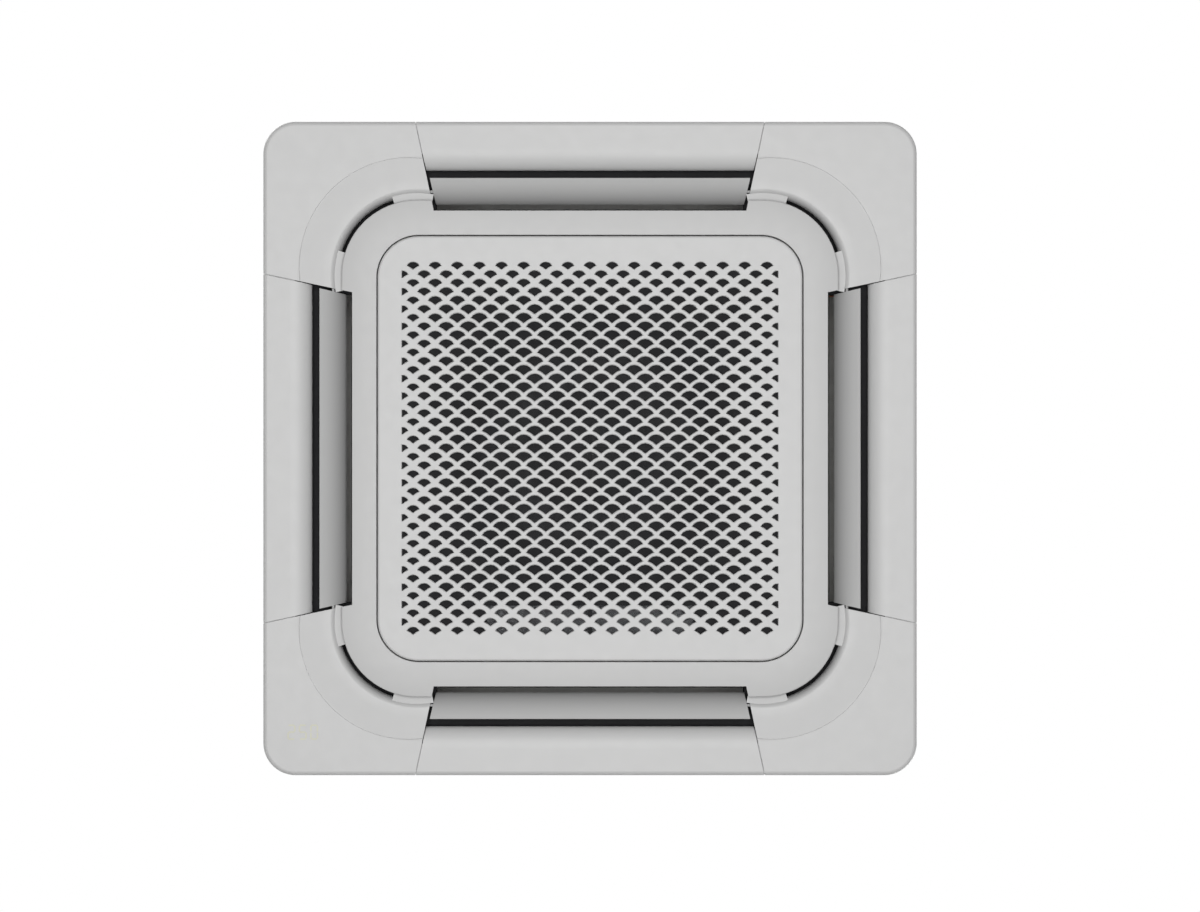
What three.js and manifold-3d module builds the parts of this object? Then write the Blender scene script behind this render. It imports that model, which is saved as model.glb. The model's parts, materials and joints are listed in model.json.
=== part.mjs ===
// A four-way ceiling cassette air conditioner, in millimetres, +Z up.
// The origin is the centre of the ceiling cut-out, in the plane of the ceiling's lower face.
// The panel hangs below it and the cabinet stands above it. Seen from below, the grille's hinge is
// on the rear (-Y) side. Each side is drawn with u outwards (+X) and t along the side (+Y), then
// turned about Z into its place.
import * as THREE from 'three';
import { mergeVertices } from 'three/addons/utils/BufferGeometryUtils.js';
import ManifoldModule from 'manifold-3d';

const wasm = await ManifoldModule();
wasm.setup();

// ---------------------------------------------------------------- driving dimensions

const FIT = 0.3; // gap between pieces that rest on each other
const ROUND_STEPS = 5; // chords in a quarter turn of a rounded corner

// Panel, seen from below
const PANEL_HALF = 475;
const PANEL_CORNER_RADIUS = 47;
const PANEL_DROP = 22; // the border's face below the ceiling
const PANEL_EDGE_RADIUS = 6;
const COVER_WALL = 3;
const SEAM_GAP = 1;
const SEAM_HALF_WIDTH = PANEL_HALF - 221; // half length of a side cover at the panel's edge
const SEAM_SLOPE = 0.214; // how much the seam comes in for each millimetre towards the centre
const LIP_OUTER = PANEL_HALF - 47; // where the flat border starts to curl up into the outlet
const LIP_CURL = 17; // how far the lip curls up

// Outlet slots along the sides
const SLOT_OUTER = LIP_OUTER - 23.5;
const SLOT_INNER = SLOT_OUTER - 59.5;
const DUCT_WALL = 3;
const DUCT_RISE = 9; // the outlet ducts' upper edge above the ceiling's lower face

// Open arc slots in the corners, about a centre on the diagonal
const ARC_CENTRE = SLOT_INNER - 93.7;
const ARC_INNER = 109;
const ARC_OUTER = 115.5;
const ARC_FROM = 17.6; // degrees
const ARC_TO = 72.4;
const CAP_LIP_RADIUS = 127;
const CAP_FLAT_RADIUS = 174;
const CAP_DISH = 3; // how far the cap's fan drops towards its lip

// Panel frame
const BASE_HALF = PANEL_HALF - 7; // half the base plate, inside the covers
const BASE_INNER = SLOT_INNER - 54;
const BASE_TOP = -1.5;
const BASE_THICKNESS = 3;
const RIM_HALF = BASE_HALF - 12; // upstand that seats on the ceiling
const RIM_WALL = 3;
const RING_DROP_INNER = 35;
const RING_DROP_OUTER = 31.5;
const RING_WALL = 2.5;
const CHANNEL_MOUTH = 260; // length of the opening above the ring's channel on each side

// Intake grille
const GRILLE_HALF = SLOT_INNER - 37;
const GRILLE_CORNER_RADIUS = 60;
const GRILLE_GAP = 1.5;
const GRILLE_DROP = 36;
const GRILLE_THICKNESS = 2.5;
const GRILLE_EDGE_RADIUS = 3;
const GRILLE_RIM_HEIGHT = 9;
const GRILLE_RIM_WALL = 3;
const LATTICE_HALF = GRILLE_HALF - 29;
const LATTICE_PITCH = LATTICE_HALF / 4.3512; // between openings in a row
const LATTICE_ROW = LATTICE_HALF / 11.0714; // between rows, each shifted by half a pitch
const LATTICE_ROWS = 21;
const LATTICE_COLUMNS = 8;
const OPENING_WIDTH = 0.75 * LATTICE_PITCH;
const OPENING_HEIGHT = 1.35 * LATTICE_ROW;

// Grille hinge, catches and filter
const HINGE_INSET = 10; // axis inside the grille's edge
const HINGE_RISE = 7; // axis above the grille's face
const HINGE_SPREAD = 170; // rail arms at this distance on both sides of the middle
const HINGE_PIN_RADIUS = 1.8;
const HINGE_RUNNING_GAP = 0.4;
const HINGE_ARM_WIDTH = 8;
const HINGE_ARM_THICKNESS = 3;
const RAIL_HEIGHT = 4;
const GUIDE_WALL = 2;
const GRILLE_SINK = 13; // how far the rail comes down while the grille opens
const HINGE_EAR_WIDTH = 3;
const HINGE_EAR_GAP = 5; // middle of an arm to its ears
const CATCH_SPREAD = 150;
const CATCH_RADIUS = 3;
const CATCH_BOSS_RADIUS = 7;
const CATCH_BOSS_LENGTH = 14;
const CATCH_INSET = 4.5; // axis inside the grille's edge
const CATCH_TRAVEL = 4;
const CATCH_CAP = 1.5; // end of the bore that stops the catch
const FILTER_HALF = GRILLE_HALF - 24;
const FILTER_BAR = 12;
const FILTER_HEIGHT = 7;
const FILTER_MESH_THICKNESS = 0.5;

// Air vanes
const VANE_AXIS_U = SLOT_INNER + 28.5;
const VANE_AXIS_DROP = 14;
const VANE_CHORD = 55;
const VANE_TURN = 50; // degrees that the vane's curve turns through
const VANE_THICKNESS = 2.5;
const VANE_TILT = 48.6; // degrees at rest, the outer edge down
const VANE_END_GAP = 4;
const VANE_RIB = 3;
const VANE_RIB_AT = SEAM_HALF_WIDTH - 33;
const VANE_PIN_RADIUS = 2;
const VANE_STEPS = 7;
const VANE_MOTOR_RADIUS = 12;
const VANE_MOTOR_LENGTH = 16;
const VANE_MOTOR_OFFSET = 8; // the motor's body above its shaft

// Cabinet
const CASE_HALF = PANEL_HALF - 55;
const CASE_CHAMFER = 150;
const CASE_FLOOR = 12; // lower edge above the ceiling's lower face
const CASE_HEIGHT = 246;
const CASE_SHEET = 1.5;
const CASE_FLANGE = 13;
const CASE_EMBOSS = 3;
const EMBOSS_RADIUS = 230;
const LINING = 12;
const LINING_MOTOR_HOLE = 100;

// Hanger brackets, one at each chamfered corner
const ROD_PITCH_X = 2 * (CASE_HALF - 80);
const ROD_PITCH_Y = 2 * (CASE_HALF - 30);
const ROD_HOLE_RADIUS = 6;
const HANGER_SHEET = 3;
const HANGER_HEIGHT = 130;
const HANGER_WIDTH = 110;
const HANGER_REACH = 52;
const PANEL_SCREW_AT = CASE_HALF - 55;
const PANEL_SCREW_RADIUS = 2.5;
const PANEL_SCREW_HEAD = 6;

// Drain pan
const PAN_HEIGHT = 36;
const PAN_OPENING = SLOT_INNER - 90;
const PAN_SLOT_INNER = SLOT_INNER + 4;
const PAN_SLOT_OUTER = SLOT_OUTER - 8.5;
const PAN_SLOT_LENGTH = 2 * (SEAM_HALF_WIDTH - 29);
const TROUGH_DEPTH = 22;
const TROUGH_WALL = 8; // trough's width beyond the coil on either side
const PLUG_AT = SLOT_INNER - 45;
const PLUG_RADIUS = 10;

// Heat exchanger
const COIL_OUTER = CASE_HALF - 102;
const COIL_DEPTH = 36;
const COIL_HEIGHT = 200;
const COIL_OUTER_RADIUS = 78;
const COIL_END = COIL_OUTER - 128; // where both ends of the coil stop at the open corner
const END_PLATE = 1.5;
const END_PLATE_MARGIN = 3;
const RETURN_BENDS = 5;
const RETURN_BEND_RADIUS = 10;
const COIL_TUBE_RADIUS = 4;

// Refrigerant pipes and drain
const GAS_PIPE_RADIUS = 7.94;
const LIQUID_PIPE_RADIUS = 4.76;
const GAS_PIPE_HEIGHT = 200;
const LIQUID_PIPE_HEIGHT = 160;
const PIPE_EXIT_Y = 184 - CASE_HALF;
const PIPE_REACH = 34; // how far the pipes stand out of the case
const NUT_LENGTH = 22;
const PIPE_PLATE_SHEET = 2;
const PIPE_PLATE_WIDTH = 60;
const PIPE_PLATE_HEIGHT = 100;
const DRAIN_EXIT_X = CASE_HALF - 184;
const DRAIN_HEIGHT = 200;
const DRAIN_SOCKET_RADIUS = 16;
const DRAIN_SOCKET_BORE = 12.7;
const DRAIN_SOCKET_LENGTH = 50;
const HOSE_RADIUS = 9;

// Drain pump and float switch
const PUMP_AT = COIL_OUTER - 33;
const PUMP_RADIUS = 27;
const PUMP_CHAMBER_RADIUS = 16;
const PUMP_CHAMBER_HEIGHT = 24;
const PUMP_BODY_HEIGHT = 62;
const PUMP_ROTOR_RADIUS = 12;
const PUMP_ROTOR_BLADES = 4;
const FLOAT_X = PUMP_AT - 63;
const FLOAT_Y = -PUMP_AT - 15;
const FLOAT_RADIUS = 12;
const FLOAT_HEIGHT = 18;
const FLOAT_TRAVEL = 12;
const FLOAT_STEM_RADIUS = 4;

// Fan
const IMPELLER_RADIUS = 235;
const IMPELLER_BLADES = 7;
const IMPELLER_WALL = 3;
const HUB_DISC_HEIGHT = 205;
const HUB_CUP_RADIUS = 86;
const HUB_FLOOR_HEIGHT = 150;
const SHROUD_INLET = 172;
const BLADE_THICKNESS = 5;
const BLADE_INNER = 165;
const BLADE_SWEEP = 38; // degrees that a blade trails from its inner to its outer edge
const MOTOR_RADIUS = 72;
const MOTOR_FLOOR_HEIGHT = 192;
const MOTOR_LUGS = 3;
const MOTOR_LUG_RADIUS = 88;
const SHAFT_RADIUS = 5;
const FAN_NUT_RADIUS = 11;
const FAN_NUT_HEIGHT = 8;
const BELL_THROAT = 163;
const BELL_MOUTH = BELL_THROAT + 59;
const BELL_RISE = 58;
const BELL_WALL = 2.5;
const BELL_PLATE_HALF = PAN_OPENING + 20;

// Control box
const CONTROL_LENGTH = 300;
const CONTROL_DEPTH = 56;
const CONTROL_HEIGHT = 22;
const CONTROL_Y = GRILLE_HALF - 51;
const CONTROL_WALL = 1.5;

// Display behind the front left corner cap
const DISPLAY_X = 59 - PANEL_HALF;
const DISPLAY_Y = PANEL_HALF - 63;
const DISPLAY_WIDTH = 50;
const DISPLAY_HEIGHT = 24.5;
const DISPLAY_DEPTH = 7;

// ---------------------------------------------------------------- places worked out from them

const DEG = Math.PI / 180;
const baseFloor = BASE_TOP - BASE_THICKNESS;
const grilleFloor = -GRILLE_DROP;
const grilleBack = grilleFloor + GRILLE_THICKNESS;
const hingeY = -(GRILLE_HALF - HINGE_INSET);
const hingeZ = grilleFloor + HINGE_RISE;
const capTop = -PANEL_DROP + COVER_WALL;
const caseTop = CASE_FLOOR + CASE_HEIGHT;
const plateTop = caseTop - CASE_EMBOSS; // upper face of the top plate round its embossing
const plateFloor = plateTop - CASE_SHEET;
const panFloor = CASE_FLOOR + CASE_SHEET + FIT;
const panTop = panFloor + PAN_HEIGHT;
const troughFloor = panTop - TROUGH_DEPTH;
const coilFloor = troughFloor + FIT;
const coilInner = COIL_OUTER - COIL_DEPTH;
const bellFloor = panFloor - BELL_WALL - FIT;
const vaneAxisZ = -VANE_AXIS_DROP;

const SIDES = ['right', 'front', 'left', 'rear'];
const CORNERS = ['front_right', 'front_left', 'rear_left', 'rear_right'];

// ---------------------------------------------------------------- helpers

/** Turns the triangles round if the closed mesh is inside out. */
function facingOut(geometry) {
  const p = geometry.attributes.position.array;
  const index = geometry.index.array;
  let volume = 0;
  for (let i = 0; i < index.length; i += 3) {
    const [a, b, c] = [3 * index[i], 3 * index[i + 1], 3 * index[i + 2]];
    volume += p[a] * (p[b + 1] * p[c + 2] - p[b + 2] * p[c + 1]);
    volume += p[a + 1] * (p[b + 2] * p[c] - p[b] * p[c + 2]);
    volume += p[a + 2] * (p[b] * p[c + 1] - p[b + 1] * p[c]);
  }
  if (volume < 0) {
    for (let i = 0; i < index.length; i += 3) {
      [index[i], index[i + 1]] = [index[i + 1], index[i]];
    }
  }
  return geometry;
}

/** A closed geometry with shared vertices, from any three.js geometry. */
function closed(geometry) {
  const bare = geometry.clone();
  bare.deleteAttribute('normal');
  bare.deleteAttribute('uv');
  return facingOut(mergeVertices(bare, 1e-3));
}

function solid(geometry) {
  const merged = closed(geometry);
  const vertProperties = new Float32Array(merged.attributes.position.array);
  const triVerts = new Uint32Array(merged.index.array);
  return new wasm.Manifold(new wasm.Mesh({ numProp: 3, vertProperties, triVerts }));
}

function geometryOf(body) {
  const mesh = body.getMesh();
  const geometry = new THREE.BufferGeometry();
  geometry.setAttribute('position', new THREE.BufferAttribute(mesh.vertProperties, 3));
  geometry.setIndex(new THREE.BufferAttribute(mesh.triVerts, 1));
  return geometry;
}

function join(...pieces) {
  return pieces.reduce((whole, piece) => whole.add(piece));
}

function cut(body, ...tools) {
  return tools.reduce((rest, tool) => rest.subtract(tool), body);
}

/** Which two axes to read a loop of points on, so that it has the largest area. */
function flatAxes(loop) {
  const normal = [0, 0, 0];
  loop.forEach((p, i) => {
    const q = loop[(i + 1) % loop.length];
    normal[0] += (p[1] - q[1]) * (p[2] + q[2]);
    normal[1] += (p[2] - q[2]) * (p[0] + q[0]);
    normal[2] += (p[0] - q[0]) * (p[1] + q[1]);
  });
  const size = normal.map(Math.abs);
  const across = size.indexOf(Math.max(...size));
  return [0, 1, 2].filter((axis) => axis !== across);
}

/** Joins loops with the same number of points into one closed skin, with flat ends or end to end. */
function loft(loops, endToEnd = false) {
  const count = loops[0].length;
  const index = [];
  const bands = endToEnd ? loops.length : loops.length - 1;
  for (let band = 0; band < bands; band += 1) {
    const low = band * count;
    const high = ((band + 1) % loops.length) * count;
    for (let i = 0; i < count; i += 1) {
      const next = (i + 1) % count;
      index.push(low + i, low + next, high + next, low + i, high + next, high + i);
    }
  }
  if (!endToEnd) {
    const [a, b] = flatAxes(loops[0]);
    const ends = [loops[0], loops[loops.length - 1]];
    ends.forEach((loop, end) => {
      const start = end * (loops.length - 1) * count;
      const flat = loop.map((p) => new THREE.Vector2(p[a], p[b]));
      const turned = THREE.ShapeUtils.isClockWise(flat);
      const faces = THREE.ShapeUtils.triangulateShape(turned ? flat.reverse() : flat, []);
      faces.forEach((face) => {
        const [p, q, r] = face.map((i) => start + (turned ? count - 1 - i : i));
        const forward = turned === (end === 0);
        index.push(...(forward ? [p, q, r] : [p, r, q]));
      });
    });
  }
  const geometry = new THREE.BufferGeometry();
  geometry.setAttribute('position', new THREE.Float32BufferAttribute(loops.flat(2), 3));
  geometry.setIndex(index);
  return geometry;
}

/** A square with rounded corners, counterclockwise, as plan points. */
function roundedSquare(half, radius, steps = ROUND_STEPS) {
  const points = [];
  const centre = half - radius;
  for (let corner = 0; corner < 4; corner += 1) {
    for (let i = 0; i <= steps; i += 1) {
      const angle = (corner + i / steps) * 90 * DEG;
      const sx = corner === 0 || corner === 3 ? 1 : -1;
      const sy = corner < 2 ? 1 : -1;
      points.push([sx * centre + radius * Math.cos(angle), sy * centre + radius * Math.sin(angle)]);
    }
  }
  return points;
}

/** The case's outline, a square with its corners cut off, drawn in by inset. */
function octagon(inset) {
  const half = CASE_HALF - inset;
  const side = 2 * CASE_HALF - CASE_CHAMFER - inset * Math.SQRT2 - half;
  return [
    [half, -side], [half, side], [side, half], [-side, half],
    [-half, side], [-half, -side], [-side, -half], [side, -half],
  ];
}

function shapeOf(points) {
  return new THREE.Shape(points.map(([x, y]) => new THREE.Vector2(x, y)));
}

/** A plan outline with holes, raised from one height to another. */
function prism(points, from, to, holes = []) {
  const shape = shapeOf(points);
  holes.forEach((hole) => shape.holes.push(shapeOf(hole)));
  const depth = to - from;
  return new THREE.ExtrudeGeometry(shape, { depth, bevelEnabled: false }).translate(0, 0, from);
}

/** A ring or plate from a run of [half, radius, height] rounded squares. */
function squareLoft(sections, endToEnd = false, steps = ROUND_STEPS) {
  const loops = sections.map(([half, radius, z]) => (
    roundedSquare(half, radius, steps).map(([x, y]) => [x, y, z])
  ));
  return loft(loops, endToEnd);
}

function box(x0, x1, y0, y1, z0, z1) {
  const size = [x1 - x0, y1 - y0, z1 - z0];
  return new THREE.BoxGeometry(...size).translate((x0 + x1) / 2, (y0 + y1) / 2, (z0 + z1) / 2);
}

/** A turned piece about Z. The profile is [radius, height] points, from the axis to the axis. */
function turned(profile, steps = 24) {
  const points = profile.map(([r, z]) => new THREE.Vector2(r, z));
  return new THREE.LatheGeometry(points, steps).rotateX(90 * DEG);
}

/** A turned piece with a hole, so its profile closes on itself. */
function turnedRing(profile, steps = 24) {
  return turned([...profile, profile[0]], steps);
}

function disc(radius, z0, z1, steps = 24) {
  return turned([[0, z0], [radius, z0], [radius, z1], [0, z1]], steps);
}

function washer(inner, outer, z0, z1, steps = 24) {
  return turnedRing([[inner, z0], [outer, z0], [outer, z1], [inner, z1]], steps);
}

/** A round rod along a side's length (Y). */
function rodAlongT(radius, from, to, steps = 8) {
  return disc(radius, from, to, steps).rotateX(-90 * DEG);
}

/** A round rod along X. */
function rodAlongX(radius, from, to, steps = 10) {
  return disc(radius, from, to, steps).rotateY(90 * DEG);
}

/** A round tube along a smooth path through the points. */
function tube(points, radius, steps, sides = 10) {
  const path = new THREE.CatmullRomCurve3(points.map((p) => new THREE.Vector3(...p)));
  const circle = [];
  for (let i = 0; i < sides; i += 1) {
    const angle = (i / sides) * 2 * Math.PI;
    circle.push([radius * Math.cos(angle), radius * Math.sin(angle)]);
  }
  return new THREE.ExtrudeGeometry(shapeOf(circle), { steps, extrudePath: path });
}

/** Plan points of an arc band about the corner's arc centre. */
function arcBand(inner, outer, fromDegrees, toDegrees, steps = 7) {
  const points = [];
  const add = (radius, degrees) => points.push([
    ARC_CENTRE + radius * Math.cos(degrees * DEG),
    ARC_CENTRE + radius * Math.sin(degrees * DEG),
  ]);
  const stride = (toDegrees - fromDegrees) / steps;
  for (let i = 0; i <= steps; i += 1) add(outer, fromDegrees + i * stride);
  for (let i = steps; i >= 0; i -= 1) add(inner, fromDegrees + i * stride);
  return points;
}

/** Half the width between a side's two seams, at a distance u from the centre. */
function seamAt(u) {
  return SEAM_HALF_WIDTH - SEAM_SLOPE * (PANEL_HALF - u);
}

/** A [u, z] section drawn along a side, its ends following the seams at a distance. */
function sideSweep(section, gap) {
  const end = (sign) => section.map(([u, z]) => [u, sign * (seamAt(u) - gap), z]);
  return loft([end(-1), end(1)]);
}

/** Plan points of the ground between a corner's two seams, from where they meet outwards. */
function cornerGround(gap) {
  const far = PANEL_HALF + 50;
  const apex = (SEAM_HALF_WIDTH - SEAM_SLOPE * PANEL_HALF + gap) / (1 - SEAM_SLOPE);
  return [[apex, apex], [far, seamAt(far) + gap], [far, far], [seamAt(far) + gap, far]];
}

const group = new THREE.Group();

function addPiece(name, body, look, turn = 0) {
  const geometry = body.isBufferGeometry ? closed(body) : geometryOf(body);
  const mesh = new THREE.Mesh(geometry, new THREE.MeshStandardMaterial(look));
  mesh.name = name;
  mesh.rotation.z = turn;
  group.add(mesh);
}

// ---------------------------------------------------------------- materials

const WHITE_ABS = { color: '#cdcdcc', roughness: 0.45, metalness: 0 };
const VANE_ABS = { color: '#c6c6c5', roughness: 0.42, metalness: 0 };
const FRAME_ABS = { color: '#c3c3c2', roughness: 0.5, metalness: 0 };
const GREY_ABS = { color: '#4b4c4e', roughness: 0.6, metalness: 0 };
const FOAM = { color: '#e6e5e1', roughness: 0.95, metalness: 0 };
const DARK_FOAM = { color: '#343435', roughness: 0.95, metalness: 0 };
const GASKET = { color: '#2e2f31', roughness: 0.95, metalness: 0 };
const ZINC_STEEL = { color: '#a9adb0', roughness: 0.4, metalness: 0.9 };
const ALUMINIUM = { color: '#b9bcbe', roughness: 0.35, metalness: 0.9 };
const COPPER = { color: '#b8703f', roughness: 0.3, metalness: 1 };
const BRASS = { color: '#b99b52', roughness: 0.3, metalness: 1 };
const STEEL = { color: '#8b8e91', roughness: 0.3, metalness: 1 };
const RUBBER = { color: '#1f2021', roughness: 0.9, metalness: 0 };
const CIRCUIT = { color: '#2c5b38', roughness: 0.6, metalness: 0 };
const NET = { color: '#3a3b3d', roughness: 0.8, metalness: 0 };

// ---------------------------------------------------------------- panel

/** A quarter of an ellipse that curls inwards and up, from the flat face to the lip's edge. */
function lipCurve(outer, radial, bottom, rise, steps = 4) {
  const points = [];
  for (let i = 0; i <= steps; i += 1) {
    const angle = (i / steps) * 90 * DEG;
    const inward = radial * Math.sin(angle);
    points.push([outer - inward, bottom + rise * (1 - Math.cos(angle))]);
  }
  return points;
}

const lipTop = -PANEL_DROP + LIP_CURL;

/** The border's edge from the ceiling down and in to its flat face, as [u, z], wall by inset. */
function borderEdge(inset) {
  const half = PANEL_HALF - inset;
  const radius = PANEL_EDGE_RADIUS - inset;
  const face = -PANEL_DROP + inset;
  const bend = 45 * DEG;
  return [
    [half, -FIT],
    [half, face + radius],
    [half - radius * (1 - Math.cos(bend)), face + radius * (1 - Math.sin(bend))],
    [half - radius, face],
  ];
}

function sideCover() {
  const face = lipCurve(LIP_OUTER, LIP_OUTER - SLOT_OUTER, -PANEL_DROP, LIP_CURL);
  const back = lipCurve(
    LIP_OUTER, LIP_OUTER - SLOT_OUTER - COVER_WALL, capTop, LIP_CURL - COVER_WALL);
  const section = [...borderEdge(0), ...face, ...back.reverse(), ...borderEdge(COVER_WALL).reverse()];
  return sideSweep(section, SEAM_GAP / 2);
}

function cornerCap() {
  const lipBottom = -PANEL_DROP - CAP_DISH;
  const curl = lipTop - lipBottom;
  const radial = CAP_LIP_RADIUS - ARC_OUTER;
  const face = lipCurve(CAP_LIP_RADIUS, radial, lipBottom, curl);
  const back = lipCurve(CAP_LIP_RADIUS, radial - COVER_WALL, lipBottom + COVER_WALL, curl - COVER_WALL);
  const reach = PANEL_HALF;
  const fan = turnedRing([
    ...face.reverse(),
    [CAP_FLAT_RADIUS, -PANEL_DROP], [reach, -PANEL_DROP],
    [reach, capTop], [CAP_FLAT_RADIUS, capTop],
    ...back,
  ], 36).translate(ARC_CENTRE, ARC_CENTRE, 0);
  const flatHalf = PANEL_HALF - PANEL_EDGE_RADIUS;
  const flatRadius = PANEL_CORNER_RADIUS - PANEL_EDGE_RADIUS;
  const within = prism(roundedSquare(flatHalf, flatRadius), -PANEL_DROP - 2 * CAP_DISH, 0);
  const edge = [...borderEdge(0), ...borderEdge(COVER_WALL).reverse()];
  const rim = squareLoft(edge.map(([half, z]) => (
    [half, PANEL_CORNER_RADIUS - (PANEL_HALF - half), z]
  )), true);
  const ground = prism(cornerGround(SEAM_GAP / 2), -2 * PANEL_DROP, PANEL_DROP);
  const cap = join(solid(fan).intersect(solid(within)), solid(rim)).intersect(solid(ground));
  const closedSpans = [[-30, ARC_FROM], [ARC_TO, 120]];
  const lowered = closedSpans.map(([from, to]) => solid(
    prism(arcBand(ARC_OUTER - 2, CAP_LIP_RADIUS + 2, from, to, 5), capTop, PANEL_DROP)));
  return cut(cap, ...lowered);
}

/** The radius at which the cap's lip passes a height. */
function capLipRadiusAt(z) {
  const bottom = -PANEL_DROP - CAP_DISH;
  const drop = (z - bottom) / (lipTop - bottom);
  return CAP_LIP_RADIUS - (CAP_LIP_RADIUS - ARC_OUTER) * Math.sqrt(1 - (1 - drop) ** 2);
}

/** The outlet's plan outline, grown by a margin on every side. */
function slotOutline(margin) {
  const inner = SLOT_INNER - margin;
  const outer = SLOT_OUTER + margin;
  const end = SEAM_GAP / 2 + margin;
  return [
    [inner, -seamAt(inner) - end], [outer, -seamAt(outer) - end],
    [outer, seamAt(outer) + end], [inner, seamAt(inner) + end],
  ];
}

const endWallFloor = capTop + 0.4;
const bearingRadius = VANE_PIN_RADIUS + 0.4;
const ringCornerHalf = ARC_CENTRE + ARC_INNER;
const ringSlope = (RING_DROP_INNER - RING_DROP_OUTER) / (SLOT_INNER - GRILLE_HALF - GRILLE_GAP);
const ringDropAt = (u) => RING_DROP_INNER - ringSlope * (u - GRILLE_HALF - GRILLE_GAP);
const grooveFloor = endWallFloor - 2;

/** The ring round the grille: an open channel whose walls run up into the base plate. */
function ring() {
  const rootZ = baseFloor + BASE_THICKNESS / 2;
  const inner = GRILLE_HALF + GRILLE_GAP;
  const innerRadius = GRILLE_CORNER_RADIUS + GRILLE_GAP;
  return solid(squareLoft([
    [inner, innerRadius, rootZ],
    [inner, innerRadius, -RING_DROP_INNER],
    [ringCornerHalf, ARC_INNER, -ringDropAt(ringCornerHalf)],
    [ringCornerHalf, ARC_INNER, rootZ],
    [ringCornerHalf - RING_WALL, ARC_INNER - RING_WALL, rootZ],
    [
      ringCornerHalf - RING_WALL, ARC_INNER - RING_WALL,
      RING_WALL - ringDropAt(ringCornerHalf),
    ],
    [inner + RING_WALL, innerRadius + RING_WALL, RING_WALL - RING_DROP_INNER],
    [inner + RING_WALL, innerRadius + RING_WALL, rootZ],
  ], true));
}

/** One side's outlet duct, with the walls that carry the vane's pins. */
function duct() {
  const skin = RING_WALL / 2;
  const collar = prism(slotOutline(DUCT_WALL), endWallFloor, DUCT_RISE);
  const innerWall = box(
    SLOT_INNER - DUCT_WALL, SLOT_INNER,
    -seamAt(SLOT_INNER) - DUCT_WALL / 2, seamAt(SLOT_INNER) + DUCT_WALL / 2,
    skin - RING_DROP_OUTER, endWallFloor + 1);
  const lipRoom = box(
    SLOT_OUTER - 1, LIP_OUTER, -seamAt(LIP_OUTER), seamAt(LIP_OUTER), -2 * PANEL_DROP, baseFloor);
  const lipWedge = prism(
    [
      [SLOT_OUTER - 1, -seamAt(SLOT_OUTER) - SEAM_GAP / 2],
      [LIP_OUTER, -seamAt(LIP_OUTER) - SEAM_GAP / 2],
      [LIP_OUTER, seamAt(LIP_OUTER) + SEAM_GAP / 2],
      [SLOT_OUTER - 1, seamAt(SLOT_OUTER) + SEAM_GAP / 2],
    ],
    -2 * PANEL_DROP, baseFloor);
  const inner = SLOT_INNER - DUCT_WALL;
  const outer = ringCornerHalf - RING_WALL / 2;
  const beyond = SEAM_GAP / 2 + DUCT_WALL;
  const cheek = (side) => {
    const outline = [
      [inner, side * (seamAt(inner) - DUCT_WALL)],
      [outer, side * (seamAt(outer) - DUCT_WALL)],
      [outer, side * (seamAt(outer) + beyond)],
      [inner, side * (seamAt(inner) + beyond)],
    ];
    return solid(loft([
      outline.map(([u, t]) => [u, t, skin - ringDropAt(u)]),
      outline.map(([u, t]) => [u, t, endWallFloor + 1]),
    ]));
  };
  const walls = solid(collar).subtract(solid(lipRoom).intersect(solid(lipWedge)));
  return join(walls, solid(innerWall), cheek(-1), cheek(1));
}

/** What one side's outlet, vane pins and vane motor take out of the frame. */
function ductRoom() {
  const through = prism(slotOutline(0), -2 * GRILLE_DROP, 2 * DUCT_RISE);
  const reach = seamAt(SLOT_OUTER) + 2 * DUCT_WALL;
  const bearings = rodAlongT(bearingRadius, -reach, reach).translate(VANE_AXIS_U, 0, vaneAxisZ);
  const margin = 1;
  const motorRoom = box(
    VANE_AXIS_U - VANE_MOTOR_RADIUS - margin, VANE_AXIS_U + VANE_MOTOR_RADIUS + margin,
    -vaneMotorFar - margin, -vaneMotorNear + FIT,
    baseFloor - margin, BASE_TOP + margin);
  const channelMouth = box(
    GRILLE_HALF + GRILLE_GAP + 2 * RING_WALL, SLOT_INNER - 2 * DUCT_WALL,
    -CHANNEL_MOUTH / 2, CHANNEL_MOUTH / 2, baseFloor - margin, BASE_TOP + margin);
  return [through, bearings, motorRoom, channelMouth].map(solid);
}

// the vane motor's two ends, beyond the duct's slanted end wall
const vaneMotorNear = seamAt(VANE_AXIS_U + VANE_MOTOR_RADIUS) + SEAM_GAP / 2 + DUCT_WALL + FIT;
const vaneMotorFar = vaneMotorNear + VANE_MOTOR_LENGTH;

/** What one corner adds to the frame: the two short floors of its groove. */
function grooveFloors() {
  const seamAngle = -Math.asin((ARC_CENTRE - seamAt(ringCornerHalf)) / ARC_INNER) / DEG;
  const inner = ARC_INNER - RING_WALL / 2;
  const outer = capLipRadiusAt(capTop) - 2 * FIT;
  const spans = [[seamAngle, ARC_FROM], [ARC_TO, 90 - seamAngle]];
  return spans.map(([from, to]) => solid(
    prism(arcBand(inner, outer, from, to, 2), grooveFloor, grooveFloor + 2)));
}

const railFloor = hingeZ + HINGE_INSET + 1;
const railTop = railFloor + RAIL_HEIGHT;
const armHead = BASE_TOP + GRILLE_SINK + FIT;

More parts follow.
